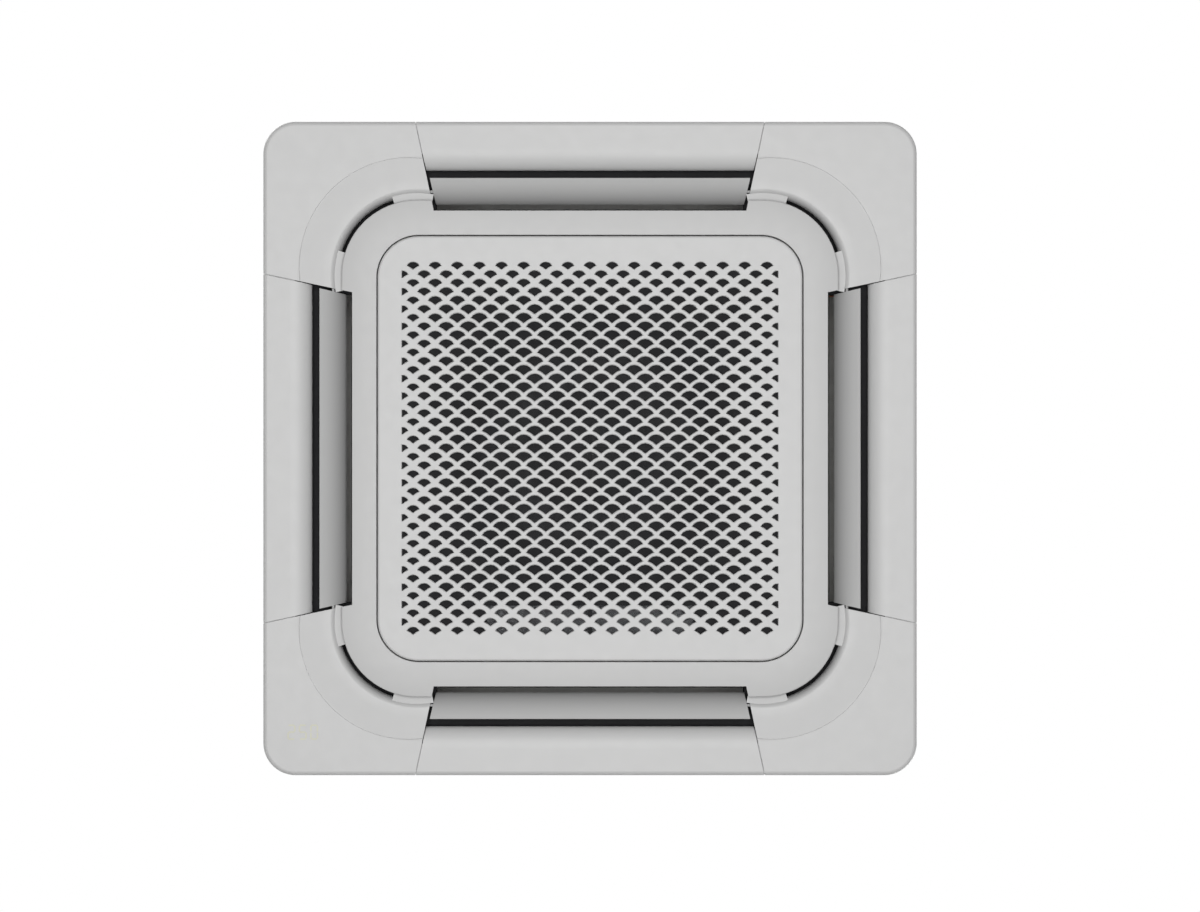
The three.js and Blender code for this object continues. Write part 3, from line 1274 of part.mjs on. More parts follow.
function bellMouth() {
  const wall = (inset) => {
    const points = [];
    for (let i = 0; i <= 4; i += 1) {
      const angle = (i / 4) * 90 * DEG;
      points.push([
        BELL_MOUTH - (BELL_MOUTH - BELL_THROAT - inset) * Math.sin(angle),
        bellTop - (BELL_RISE - inset) * Math.cos(angle),
      ]);
    }
    return points;
  };
  const horn = solid(turnedRing([...wall(0), ...wall(BELL_WALL).reverse()], 24));
  const hole = [];
  for (let i = 0; i < 24; i += 1) {
    const angle = (-i / 24) * 360 * DEG;
    hole.push([(BELL_MOUTH - 2) * Math.cos(angle), (BELL_MOUTH - 2) * Math.sin(angle)]);
  }
  const plate = prism(roundedSquare(BELL_PLATE_HALF, 40), bellFloor, bellFloor + BELL_WALL, [hole]);
  return horn.add(solid(plate));
}

// ---------------------------------------------------------------- control box and display

const controlTop = bellFloor - FIT;
const controlFloor = controlTop - CONTROL_HEIGHT;
const controlRoom = [
  -CONTROL_LENGTH / 2 + CONTROL_WALL, CONTROL_LENGTH / 2 - CONTROL_WALL,
  CONTROL_Y - CONTROL_DEPTH / 2 + CONTROL_WALL, CONTROL_Y + CONTROL_DEPTH / 2 - CONTROL_WALL,
];

function controlBox() {
  const outer = solid(box(
    -CONTROL_LENGTH / 2, CONTROL_LENGTH / 2, CONTROL_Y - CONTROL_DEPTH / 2,
    CONTROL_Y + CONTROL_DEPTH / 2, controlFloor, controlTop));
  const room = solid(box(...controlRoom, controlFloor - 1, controlTop - CONTROL_WALL));
  return outer.subtract(room);
}

function controlLid() {
  const thickness = 1.5;
  return box(
    -CONTROL_LENGTH / 2, CONTROL_LENGTH / 2, CONTROL_Y - CONTROL_DEPTH / 2,
    CONTROL_Y + CONTROL_DEPTH / 2, controlFloor - FIT - thickness, controlFloor - FIT);
}

const boardTop = controlTop - CONTROL_WALL - FIT;

function circuitBoard() {
  const [x0, x1, y0, y1] = controlRoom;
  const boardEnd = x1 - CONTROL_LENGTH * 0.3;
  const board = solid(box(x0 + FIT, boardEnd, y0 + FIT, y1 - FIT, boardTop - 1.6, boardTop));
  const relay = solid(box(x0 + 20, x0 + 48, y0 + 10, y0 + 30, boardTop - 14, boardTop - 1));
  const choke = solid(disc(11, boardTop - 15, boardTop - 1, 12).translate(x0 + 80, CONTROL_Y, 0));
  const chip = solid(box(x0 + 120, x0 + 148, y0 + 14, y0 + 36, boardTop - 4, boardTop - 1));
  return join(board, relay, choke, chip);
}

function terminalBlock() {
  const [, x1, y0, y1] = controlRoom;
  const length = 66;
  const x0 = x1 - length - FIT;
  const middle = (y0 + y1) / 2;
  let block = solid(box(x0, x1 - FIT, middle - 10, middle + 10, boardTop - 13, boardTop));
  for (let way = 1; way < 6; way += 1) {
    const x = x0 + (way * length) / 6;
    block = block.subtract(solid(box(x - 0.8, x + 0.8, middle - 11, middle + 11, boardTop - 14,
      boardTop - 8)));
  }
  return block;
}

function displayBoard() {
  const face = capTop + FIT;
  const back = face + DISPLAY_DEPTH;
  const margin = 6;
  const rect = (grow, from, to) => solid(box(
    DISPLAY_X - DISPLAY_WIDTH / 2 - grow, DISPLAY_X + DISPLAY_WIDTH / 2 + grow,
    DISPLAY_Y - DISPLAY_HEIGHT / 2 - grow, DISPLAY_Y + DISPLAY_HEIGHT / 2 + grow, from, to));
  return join(rect(0, face, back), rect(margin, back - 0.5, back + 1.6));
}

// ---------------------------------------------------------------- the assembly

const quarter = 90 * DEG;

addPiece('cabinet_shell', cabinetShell(), ZINC_STEEL);
addPiece('cabinet_lining', cabinetLining(), FOAM);
const mirrors = [[1, 1], [-1, 1], [-1, -1], [1, -1]];
CORNERS.forEach((corner, k) => {
  const [sx, sy] = mirrors[k];
  const bracket = geometryOf(hangerBracket()).scale(sx, sy, 1);
  addPiece(`hanger_bracket_${corner}`, bracket, ZINC_STEEL);
  addPiece(`panel_screw_${corner}`, panelScrew(), STEEL, k * quarter);
});

addPiece('heat_exchanger', heatExchanger(), ALUMINIUM);
addPiece('coil_end_plate_right', coilEndPlate(), COPPER);
addPiece('coil_end_plate_rear', geometryOf(coilEndPlate()).applyMatrix4(
  new THREE.Matrix4().set(0, -1, 0, 0, -1, 0, 0, 0, 0, 0, 1, 0, 0, 0, 0, 1)), COPPER);
addPiece('gas_pipe', gasPipe(), COPPER);
addPiece('liquid_pipe', liquidPipe(), COPPER);
addPiece('gas_flare_nut', flareNut(GAS_PIPE_RADIUS, 15, GAS_PIPE_HEIGHT), BRASS);
addPiece('liquid_flare_nut', flareNut(LIQUID_PIPE_RADIUS, 11, LIQUID_PIPE_HEIGHT), BRASS);
addPiece('pipe_plate', pipePlate(), ZINC_STEEL);

addPiece('fan_motor', fanMotor(), STEEL);
addPiece('motor_shaft', motorShaft(), STEEL);
addPiece('impeller', impeller(), GREY_ABS);
addPiece('fan_nut', fanNut(), STEEL);
addPiece('bell_mouth', bellMouth(), GREY_ABS);

addPiece('drain_pan', drainPan(), DARK_FOAM);
addPiece('drain_plug', drainPlug(), RUBBER);
addPiece('drain_pump', drainPump(), GREY_ABS);
addPiece('pump_rotor', pumpRotor(), WHITE_ABS);
addPiece('float_switch', floatSwitch(), WHITE_ABS);
addPiece('float', float(), GREY_ABS);
addPiece('drain_hose', drainHose(), RUBBER);
addPiece('drain_socket', drainSocket(), WHITE_ABS);

addPiece('control_box', controlBox(), ZINC_STEEL);
addPiece('control_box_lid', controlLid(), ZINC_STEEL);
addPiece('circuit_board', circuitBoard(), CIRCUIT);
addPiece('terminal_block', terminalBlock(), GREY_ABS);

addPiece('panel_seal', panelSeal(), GASKET);
addPiece('panel_frame', panelFrame(), FRAME_ABS);
SIDES.forEach((side, k) => {
  addPiece(`side_cover_${side}`, sideCover(), WHITE_ABS, k * quarter);
  addPiece(`corner_cap_${CORNERS[k]}`, cornerCap(), WHITE_ABS, k * quarter);
  addPiece(`air_vane_${side}`, vane(), VANE_ABS, k * quarter);
  addPiece(`vane_motor_${side}`, vaneMotor(), GREY_ABS, k * quarter);
});
addPiece('display_board', displayBoard(), CIRCUIT);
addPiece('intake_grille', intakeGrille(), WHITE_ABS);
addPiece('filter_frame', filterFrame(), GREY_ABS);
addPiece('filter_mesh', filterMesh(), NET);
addPiece('grille_hinge_rail', hingeRail(), ZINC_STEEL);
addPiece('push_catch_left', pushCatch(-1), WHITE_ABS);
addPiece('push_catch_right', pushCatch(1), WHITE_ABS);

export default group;
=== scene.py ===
import json
from math import asin, cos, hypot, pi, radians, sin, sqrt

import bmesh
import bpy
from mathutils import Matrix, Vector


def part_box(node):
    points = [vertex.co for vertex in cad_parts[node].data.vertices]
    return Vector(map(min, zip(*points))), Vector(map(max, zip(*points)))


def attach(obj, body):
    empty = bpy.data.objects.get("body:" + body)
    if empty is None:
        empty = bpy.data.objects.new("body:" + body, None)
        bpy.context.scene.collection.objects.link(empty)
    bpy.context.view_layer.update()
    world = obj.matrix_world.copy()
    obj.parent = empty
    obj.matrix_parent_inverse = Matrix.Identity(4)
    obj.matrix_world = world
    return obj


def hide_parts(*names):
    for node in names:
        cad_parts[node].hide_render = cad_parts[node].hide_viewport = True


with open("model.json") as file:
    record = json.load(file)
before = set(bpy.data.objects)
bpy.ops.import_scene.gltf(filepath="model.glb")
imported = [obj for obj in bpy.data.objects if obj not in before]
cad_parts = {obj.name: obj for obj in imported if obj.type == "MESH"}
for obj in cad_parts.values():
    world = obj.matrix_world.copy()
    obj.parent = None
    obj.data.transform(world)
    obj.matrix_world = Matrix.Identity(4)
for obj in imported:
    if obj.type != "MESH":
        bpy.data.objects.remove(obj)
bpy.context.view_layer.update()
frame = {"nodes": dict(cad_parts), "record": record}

# Sizes are in millimetres, as in the part's source. +X is the photograph's right, +Y its lower edge.
MM = 0.001
SIDES = ("right", "front", "left", "rear")
CORNERS = ("front_right", "front_left", "rear_left", "rear_right")

# ---------------------------------------------------------------- sizes of the panel

PANEL_HALF = 475
PANEL_CORNER = 47
PANEL_FACE = -22
EDGE_RADIUS = 6
WALL = 3
SEAM_GAP = 1
LIP_OUTER = 428
COVER_LIP = 436
LIP_CURL = 17
SLOT_INNER = 345
SLOT_OUTER = 404.5
ARC_CENTRE = 251.3
ARC_INNER = 109
ARC_OUTER = 115.5
ARC_SPAN = (17.6, 72.4)
CAP_LIP = 127
CAP_FLAT = 174
CAP_DISH = 3
CAP_LINE = 159  # a fine arc groove in the corner covers
CAP_LINE_CENTRE = 263.5
BASE_HALF = 468
BASE_INNER = 291
BASE_FLOOR = -4.5
BASE_TOP = -1.5
RIM_HALF = 456
RING_INNER = 309.5
RING_DROP_INNER = 35
RING_DROP_OUTER = 31.5
RING_WALL = 2.5
RING_CORNER_HALF = ARC_CENTRE + ARC_INNER
GRILLE_HALF = 308
GRILLE_CORNER = 60
GRILLE_FLOOR = -36
GRILLE_BACK = -33.5
HINGE_Y = -298
HINGE_Z = -29
FINE = 20  # chords in a quarter turn of a large corner


def seam_at(u):
    """Half the width between a side's two seams at a distance from the centre."""
    return 254 - 0.214 * (PANEL_HALF - u)


def ring_drop_at(u):
    slope = (RING_DROP_INNER - RING_DROP_OUTER) / (SLOT_INNER - RING_INNER)
    return RING_DROP_INNER - slope * (u - RING_INNER)


# ---------------------------------------------------------------- mesh helpers

def rounded_square(half, radius, steps=FINE):
    """A square with rounded corners as plan points, counterclockwise."""
    points = []
    for corner, (sx, sy) in enumerate(((1, 1), (-1, 1), (-1, -1), (1, -1))):
        for i in range(steps + 1):
            angle = (corner + i / steps) * pi / 2
            points.append((sx * (half - radius) + radius * cos(angle),
                           sy * (half - radius) + radius * sin(angle)))
    return points


def lifted(points, z):
    return [(x, y, z) for x, y in points]


def loft(sections, around=False):
    """Quads between loops of equal length. The ends are closed, or joined to each other."""
    count = len(sections[0])
    verts = [p for section in sections for p in section]
    faces = []
    spans = len(sections) if around else len(sections) - 1
    for s in range(spans):
        a, b = s * count, ((s + 1) % len(sections)) * count
        faces += [(a + i, a + (i + 1) % count, b + (i + 1) % count, b + i) for i in range(count)]
    if not around:
        faces.append(tuple(range(count))[::-1])
        faces.append(tuple(range(len(verts) - count, len(verts))))
    return verts, faces


def prism(points, low, high):
    return loft([lifted(points, low), lifted(points, high)])


def box(x0, x1, y0, y1, z0, z1):
    return prism([(x0, y0), (x1, y0), (x1, y1), (x0, y1)], z0, z1)


def square_loft(sections, around=True, steps=FINE):
    """A loft through rounded squares, each given as half width, corner radius and height."""
    return loft([lifted(rounded_square(half, radius, steps), z) for half, radius, z in sections], around)


def turned(profile, steps=72, ring=False):
    """A body of revolution about Z through (radius, z) points."""
    loops = [[(r * cos(2 * pi * i / steps), r * sin(2 * pi * i / steps), z) for i in range(steps)]
             for r, z in profile]
    return loft(loops, ring)


def rod_along_t(radius, start, end, u, z, steps=24):
    """A round rod along a side, at a distance from the centre and a height."""
    circle = [(radius * cos(2 * pi * i / steps), radius * sin(2 * pi * i / steps)) for i in range(steps)]
    return loft([[(u + a, t, z + b) for a, b in circle] for t in (start, end)])


def moved(shell, dx=0, dy=0, dz=0, turn=0):
    c, s = cos(radians(turn)), sin(radians(turn))
    verts = [(c * x - s * y + dx, s * x + c * y + dy, z + dz) for x, y, z in shell[0]]
    return verts, shell[1]


def together(*shells):
    verts, faces = [], []
    for v, f in shells:
        faces += [tuple(i + len(verts) for i in face) for face in f]
        verts += v
    return verts, faces


def arc_band(inner, outer, start, end, steps=FINE):
    """Plan points of an arc band about the corner's arc centre."""
    def arc(radius):
        return [(ARC_CENTRE + radius * cos(radians(start + (end - start) * i / steps)),
                 ARC_CENTRE + radius * sin(radians(start + (end - start) * i / steps)))
                for i in range(steps + 1)]
    return arc(outer) + arc(inner)[::-1]


def mesh_from(shell, turn=0):
    """A merged mesh in metres from a shell in millimetres, its faces outwards."""
    verts, faces = moved(shell, turn=turn)
    bm = bmesh.new()
    points = [bm.verts.new((x * MM, y * MM, z * MM)) for x, y, z in verts]
    for face in faces:
        bm.faces.new([points[i] for i in face])
    bmesh.ops.remove_doubles(bm, verts=bm.verts, dist=0.00001)
    bmesh.ops.dissolve_degenerate(bm, edges=bm.edges, dist=0.000005)
    bmesh.ops.recalc_face_normals(bm, faces=bm.faces)
    mesh = bpy.data.meshes.new("shell")
    bm.to_mesh(mesh)
    bm.free()
    return mesh


def shade(mesh, limit=34):
    """Smooth faces, with creases and the rims of level faces kept sharp."""
    bm = bmesh.new()
    bm.from_mesh(mesh)
    def level(face):
        return abs(face.normal.z) > 0.9998

    for face in bm.faces:
        face.smooth = True
    for edge in bm.edges:
        faces = edge.link_faces
        edge.smooth = (len(faces) == 2 and level(faces[0]) == level(faces[1])
                       and edge.calc_face_angle(0) < radians(limit))
    bm.to_mesh(mesh)
    bm.free()


def linked(name, mesh):
    piece = bpy.data.objects.new(name, mesh)
    bpy.context.scene.collection.objects.link(piece)
    return piece


def evaluated_mesh(piece):
    """The mesh with its modifiers applied. The piece itself goes."""
    bpy.context.view_layer.update()
    mesh = bpy.data.meshes.new_from_object(piece.evaluated_get(bpy.context.evaluated_depsgraph_get()))
    bpy.data.objects.remove(piece)
    return mesh


def carved(mesh, other, operation="DIFFERENCE"):
    """One boolean between two meshes."""
    first, second = linked("carved", mesh), linked("tool", other)
    modifier = first.modifiers.new("carve", "BOOLEAN")
    modifier.operation, modifier.solver, modifier.object = operation, "EXACT", second
    result = evaluated_mesh(first)
    bpy.data.objects.remove(second)
    return result


def soft_edges(piece, width, segments=2, limit=38):
    """Rounds the sharp edges of a moulding by a small radius."""
    modifier = piece.modifiers.new("moulded edges", "BEVEL")
    modifier.width, modifier.segments = width * MM, segments
    modifier.limit_method, modifier.angle_limit = "ANGLE", radians(limit)
    modifier.use_clamp_overlap = True
    modifier.harden_normals = True


def add_piece(name, mesh, finish, body, nodes=(), edge=0, limit=34):
    """A finished piece on its body, in place of the CAD nodes."""
    shade(mesh, limit)
    mesh.materials.clear()
    mesh.materials.append(finish)
    for polygon in mesh.polygons:
        polygon.material_index = 0
    piece = linked(name, mesh)
    if edge:
        soft_edges(piece, edge)
    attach(piece, body)
    if nodes:
        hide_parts(*nodes)
    return piece


# ---------------------------------------------------------------- finishes

def moulded(name, colour, roughness, metallic=0.0, coat=0.0, grain=(900, 0.04), tint=(14, 0.04),
            wear=(60, 0.08), sheen=0.0, glow=0.0, shine=0.5):
    """A finish with fine surface grain, slow colour drift and patches of other gloss, by object place.

    grain, tint and wear are (scale, strength) of the noise that gives them.
    """
    material = bpy.data.materials.new(name)
    material.use_nodes = True
    nodes, links = material.node_tree.nodes, material.node_tree.links
    shader = nodes["Principled BSDF"]
    shader.inputs["Metallic"].default_value = metallic
    shader.inputs["Coat Weight"].default_value = coat
    shader.inputs["Sheen Weight"].default_value = sheen
    shader.inputs["Specular IOR Level"].default_value = shine
    place = nodes.new("ShaderNodeTexCoord").outputs["Object"]

    def noise(scale, detail=4):
        texture = nodes.new("ShaderNodeTexNoise")
        texture.inputs["Scale"].default_value = scale
        texture.inputs["Detail"].default_value = detail
        links.new(place, texture.inputs["Vector"])
        return texture.outputs["Fac"]

    drift = nodes.new("ShaderNodeMix")
    drift.data_type = "RGBA"
    links.new(noise(tint[0]), drift.inputs["Factor"])
    drift.inputs["A"].default_value = (*[c * (1 - tint[1]) for c in colour], 1)
    drift.inputs["B"].default_value = (*[min(c * (1 + tint[1]), 1) for c in colour], 1)
    links.new(drift.outputs["Result"], shader.inputs["Base Color"])
    gloss = nodes.new("ShaderNodeMapRange")
    links.new(noise(wear[0]), gloss.inputs["Value"])
    gloss.inputs["To Min"].default_value = roughness - wear[1]
    gloss.inputs["To Max"].default_value = roughness + wear[1]
    links.new(gloss.outputs["Result"], shader.inputs["Roughness"])
    bump = nodes.new("ShaderNodeBump")
    bump.inputs["Strength"].default_value = grain[1]
    bump.inputs["Distance"].default_value = 0.0004
    links.new(noise(grain[0], 2), bump.inputs["Height"])
    links.new(bump.outputs["Normal"], shader.inputs["Normal"])
    if glow:
        shader.inputs["Emission Color"].default_value = (*colour, 1)
        shader.inputs["Emission Strength"].default_value = glow
    return material


WHITE_ABS = moulded("satin moulded ABS", (0.615, 0.615, 0.612), 0.42, grain=(1400, 0.05), tint=(6, 0.012))
# The ring is the same white plastic; its darker colour is painted shade for the tilted ring.
RING_SHADED_ABS = moulded("ring ABS with painted shade", (0.575, 0.575, 0.572), 0.45, grain=(1400, 0.05), tint=(6, 0.012))
# The vanes are the same white plastic; their darker colour is painted shade from their recess in the outlets.
VANE_SHADED_ABS = moulded("vane ABS with painted shade", (0.545, 0.545, 0.542), 0.38, grain=(1400, 0.04), tint=(6, 0.015))
# Near black, as painted shade deep in the outlets and behind the covers; these faces belong to the same
# plastic frame as the ring.
DUCT_PAINTED_SHADE = moulded("painted duct shade", (0.05, 0.05, 0.052), 0.6, grain=(1200, 0.06), tint=(10, 0.05), shine=0.3)
GREY_PLASTIC = moulded("dark moulded plastic", (0.055, 0.056, 0.06), 0.5, grain=(900, 0.08), tint=(16, 0.1))
NET = moulded("filter net", (0.03, 0.03, 0.032), 0.8, grain=(700, 0.1), tint=(30, 0.15), shine=0.15)
FILTER_BAR = moulded("filter frame", (0.018, 0.018, 0.019), 0.7, grain=(700, 0.1), tint=(30, 0.15),
                     shine=0.15)
DARK_FOAM = moulded("dark bead foam", (0.035, 0.035, 0.037), 0.8, grain=(260, 0.5), tint=(180, 0.15),
                    shine=0.1)
BEAD_FOAM = moulded("bead foam", (0.80, 0.795, 0.77), 0.75, grain=(260, 0.5), tint=(180, 0.06))
GASKET = moulded("gasket foam", (0.028, 0.028, 0.03), 0.9, grain=(500, 0.7), tint=(120, 0.3))
ZINC_STEEL = moulded("galvanised sheet", (0.52, 0.53, 0.55), 0.42, 0.85, grain=(60, 0.05), tint=(38, 0.16),
                     wear=(45, 0.12))
PLATED_STEEL = moulded("plated steel", (0.55, 0.55, 0.56), 0.3, 1.0, grain=(500, 0.05), tint=(25, 0.06))
WHEEL_ABS = moulded("fan wheel plastic", (0.16, 0.165, 0.175), 0.4, grain=(900, 0.06), tint=(12, 0.06))
PAINTED_MOTOR = moulded("motor housing", (0.17, 0.175, 0.18), 0.4, 0.9, grain=(350, 0.12), tint=(20, 0.12))
FIN_STOCK = moulded("fin stock", (0.66, 0.67, 0.69), 0.33, 1.0, grain=(240, 0.08), tint=(14, 0.06))
COPPER = moulded("copper tube", (0.72, 0.36, 0.22), 0.3, 1.0, grain=(180, 0.06), tint=(24, 0.14),
                 wear=(30, 0.1))
BRASS = moulded("turned brass", (0.72, 0.53, 0.24), 0.28, 1.0, grain=(400, 0.06), tint=(30, 0.08))
RUBBER = moulded("black rubber", (0.02, 0.02, 0.021), 0.75, grain=(600, 0.2), tint=(20, 0.2))
CIRCUIT = moulded("coated circuit board", (0.03, 0.16, 0.07), 0.35, coat=0.4, grain=(260, 0.3),
                  tint=(90, 0.3))
DISPLAY_GLOW = moulded("display light", (0.63, 0.625, 0.50), 0.45, grain=(900, 0.02), tint=(40, 0.02),
                       glow=0.03)

# ---------------------------------------------------------------- panel


def lip_curve(outer, radial, bottom, rise, steps=12):
    """A quarter ellipse curling inwards and up to a lip's edge."""
    turns = [i / steps * pi / 2 for i in range(steps + 1)]
    return [(outer - radial * sin(a), bottom + rise * (1 - cos(a))) for a in turns]


LIP_TOP = PANEL_FACE + LIP_CURL
CAP_TOP = PANEL_FACE + WALL
END_WALL_FLOOR = CAP_TOP + 0.4


def border_edge(inset, steps=6):
    half, radius, face = PANEL_HALF - inset, EDGE_RADIUS - inset, PANEL_FACE + inset
    turns = [i / steps * pi / 2 for i in range(steps + 1)]
    return [(half, -0.3)] + [
        (half - radius * (1 - cos(a)), face + radius * (1 - sin(a))) for a in turns]


def side_sweep(section, gap):
    """A (u, z) section drawn along a side between the seams."""
    return loft([[(u, sign * (seam_at(u) - gap), z) for u, z in section] for sign in (-1, 1)])


def side_cover():
    face = lip_curve(COVER_LIP, COVER_LIP - SLOT_OUTER, PANEL_FACE, LIP_CURL, 16)
    back = lip_curve(COVER_LIP, COVER_LIP - SLOT_OUTER - WALL, CAP_TOP, LIP_CURL - WALL, 16)
    section = border_edge(0) + face + back[::-1] + border_edge(WALL)[::-1]
    return side_sweep(section, 0.65)


def corner_cap():
    lip_bottom = PANEL_FACE - CAP_DISH
    curl, radial = LIP_TOP - lip_bottom, CAP_LIP - ARC_OUTER
    face = lip_curve(CAP_LIP, radial, lip_bottom, curl)
    back = lip_curve(CAP_LIP, radial - WALL, lip_bottom + WALL, curl - WALL)

    def slope(radius):
        return lip_bottom + CAP_DISH * (radius - CAP_LIP) / (CAP_FLAT - CAP_LIP)

    dish = [(radius, slope(radius)) for radius in (140, 155)] + [(CAP_FLAT, PANEL_FACE)]
    fan = turned(face[::-1] + dish + [(PANEL_HALF, PANEL_FACE), (PANEL_HALF, CAP_TOP), (CAP_FLAT, CAP_TOP)]
                 + back, 144, True)
    flat_half = PANEL_HALF - EDGE_RADIUS
    within = prism(rounded_square(flat_half, PANEL_CORNER - EDGE_RADIUS), PANEL_FACE - 2 * CAP_DISH, 0)
    rim = square_loft([(half, PANEL_CORNER - (PANEL_HALF - half), z)
                       for half, z in border_edge(0) + border_edge(WALL)[::-1]])
    far, gap = PANEL_HALF + 50, SEAM_GAP / 2
    apex = (seam_at(0) + gap) / (1 - 0.214)
    ground = prism([(apex, apex), (far, seam_at(far) + gap), (far, far), (seam_at(far) + gap, far)], -44, 22)
    cap = carved(mesh_from(moved(fan, ARC_CENTRE, ARC_CENTRE)), mesh_from(within), "INTERSECT")
    cap = carved(cap, mesh_from(rim), "UNION")
    cap = carved(cap, mesh_from(ground), "INTERSECT")
    groove = turned([(CAP_LINE - 2.6, -26), (CAP_LINE + 2.6, -26), (CAP_LINE, -21.4)], 160, True)
    cap = carved(cap, mesh_from(moved(groove, CAP_LINE_CENTRE, CAP_LINE_CENTRE)))
    for start, end in ((-30, ARC_SPAN[0]), (ARC_SPAN[1], 120)):
        cap = carved(cap, mesh_from(prism(arc_band(ARC_OUTER - 2, CAP_LIP + 2, start, end), CAP_TOP, 22)))
    return cap


def slot_outline(margin):
    inner, outer, end = SLOT_INNER - margin, SLOT_OUTER + margin, SEAM_GAP / 2 + margin
    return [(inner, -seam_at(inner) - end), (outer, -seam_at(outer) - end),
            (outer, seam_at(outer) + end), (inner, seam_at(inner) + end)]


def panel_ring():
    """The ring round the grille, an open channel whose outer wall is cut at the four outlets."""
    inner, corner = RING_INNER, GRILLE_CORNER + 1.5
    outer, root = RING_CORNER_HALF, BASE_FLOOR + 1.5
    turns = [i / 4 * pi / 2 for i in range(5)]
    rounded_in = [(inner + 1.2 * (1 - sin(a)), corner + 1.2 * (1 - sin(a)),
                   -ring_drop_at(inner) + 1.2 * (1 - cos(a))) for a in turns][::-1]
    rounded_out = [(outer - 1.5 * (1 - cos(a)), ARC_INNER - 1.5 * (1 - cos(a)),
                    -ring_drop_at(outer) + 1.5 * (1 - sin(a))) for a in turns][::-1]
    sections = [(inner, corner, root)] + rounded_in + rounded_out + [
        (outer, ARC_INNER, root), (outer - RING_WALL, ARC_INNER - RING_WALL, root),
        (outer - RING_WALL, ARC_INNER - RING_WALL, RING_WALL - ring_drop_at(outer)),
        (inner + RING_WALL, corner + RING_WALL, RING_WALL - ring_drop_at(inner)),
        (inner + RING_WALL, corner + RING_WALL, root)]
    mesh = mesh_from(square_loft(sections, steps=28))
    slots = together(*[moved(prism(slot_outline(0), -80, 30), turn=90 * k) for k in range(4)])
    return carved(mesh, mesh_from(slots))


VANE_U, VANE_Z = 373.5, -14
VANE_BEARING, BEARING_REACH = 2.4, 262
CATCH_X, CATCH_Y = 150, 303.5
CATCH_BORE, CATCH_BORE_TOP = 3.4, 0.8


def catch_bore():
    """The round hole that a push catch moves in."""
    return turned([(CATCH_BORE, -30), (CATCH_BORE, CATCH_BORE_TOP)], 32)


def outlet_walls():
    """One side's duct through the base plate, its inner wall and the cheeks at both ends."""
    collar = mesh_from(prism(slot_outline(WALL), END_WALL_FLOOR, 9))
    collar = carved(collar, mesh_from(prism(slot_outline(0), -80, 30)))
    lip = [(SLOT_OUTER - 1, -seam_at(SLOT_OUTER) - 0.5), (LIP_OUTER, -seam_at(LIP_OUTER) - 0.5),
           (LIP_OUTER, seam_at(LIP_OUTER) + 0.5), (SLOT_OUTER - 1, seam_at(SLOT_OUTER) + 0.5)]
    collar = carved(collar, mesh_from(prism(lip, -44, BASE_FLOOR)))
    inner, outer = SLOT_INNER - WALL, RING_CORNER_HALF - RING_WALL / 2
    wall = box(inner, SLOT_INNER, -seam_at(SLOT_INNER) - 1.5, seam_at(SLOT_INNER) + 1.5,
               1.25 - RING_DROP_OUTER, END_WALL_FLOOR + 1)
    shells = [wall]
    for side in (-1, 1):
        outline = [(inner, side * (seam_at(inner) + 0.5)), (outer, side * (seam_at(outer) + 0.5)),
                   (outer, side * (seam_at(outer) + 3.5)), (inner, side * (seam_at(inner) + 3.5))]
        shells.append(loft([[(u, t, 1.25 - ring_drop_at(u)) for u, t in outline],
                            lifted(outline, END_WALL_FLOOR + 1)]))
    bearing = rod_along_t(VANE_BEARING, -BEARING_REACH, BEARING_REACH, VANE_U, VANE_Z)
    return carved(collar, mesh_from(bearing)), carved(mesh_from(together(*shells)), mesh_from(bearing))


def groove_floors():
    """The short closed floors at both ends of a corner's groove."""
    seam_angle = -asin((ARC_CENTRE - seam_at(RING_CORNER_HALF)) / ARC_INNER) * 180 / pi
    inner, outer = ARC_INNER - 1.2, ARC_OUTER + 5
    spans = ((seam_angle, ARC_SPAN[0]), (ARC_SPAN[1], 90 - seam_angle))
    return together(*[prism(arc_band(inner, outer, a, b, 8), END_WALL_FLOOR - 2, END_WALL_FLOOR)
                      for a, b in spans])


def base_plate():
    """The flat plate behind the covers, with the openings for air, grille and vane motors."""
    plate = mesh_from(square_loft([
        (BASE_HALF, 40, BASE_FLOOR), (BASE_HALF, 40, BASE_TOP),
        (BASE_INNER, 43, BASE_TOP), (BASE_INNER, 43, BASE_FLOOR)]))
    cuts = []
    for k in range(4):
        cuts.append(moved(prism(slot_outline(0.1), -20, 20), turn=90 * k))
        cuts.append(moved(prism(arc_band(ARC_INNER, ARC_OUTER, *ARC_SPAN), -20, 20), turn=90 * k))
        cuts.append(moved(box(360.5, 386.5, -256.5, -238.5, -20, 20), turn=90 * k))
        cuts.append(moved(box(314.5, 339, -130, 130, -20, 20), turn=90 * k))
        cuts.append(moved(moved(prism([(2.9 * cos(a * pi / 8), 2.9 * sin(a * pi / 8)) for a in range(16)],
                                      -20, 20), 365, 365), turn=90 * k))
    for side in (-1, 1):
        cuts.append(moved(box(-1.9, 1.9, -4.4, 4.4, -20, 20), side * 170, HINGE_Y))
        cuts.append(moved(catch_bore(), side * CATCH_X, CATCH_Y))
    return carved(plate, mesh_from(together(*cuts)))


def joined(meshes):
    """One mesh from several that only touch."""
    bm = bmesh.new()
    for mesh in meshes:
        bm.from_mesh(mesh)
    result = bpy.data.meshes.new("joined")
    bm.to_mesh(result)
    bm.free()
    return result


def turned_mesh(mesh, degrees):
    copy = mesh.copy()
    copy.transform(Matrix.Rotation(radians(degrees), 4, "Z"))
    return copy


def seam_tongues():
    """Thin dark tongues deep in the gaps between the covers, which close the view through them."""
    shells = []
    for hand in (-1, 1):
        outline = []
        for u, side in ((SLOT_OUTER + 24, -1), (PANEL_HALF - 1.6, -1),
                        (PANEL_HALF - 1.6, 1), (SLOT_OUTER + 24, 1)):
            outline.append((u, hand * (seam_at(u) + side * 0.42)))
        shells.append(prism(outline, PANEL_FACE + 3.2, BASE_FLOOR + 1))
    return together(*shells)


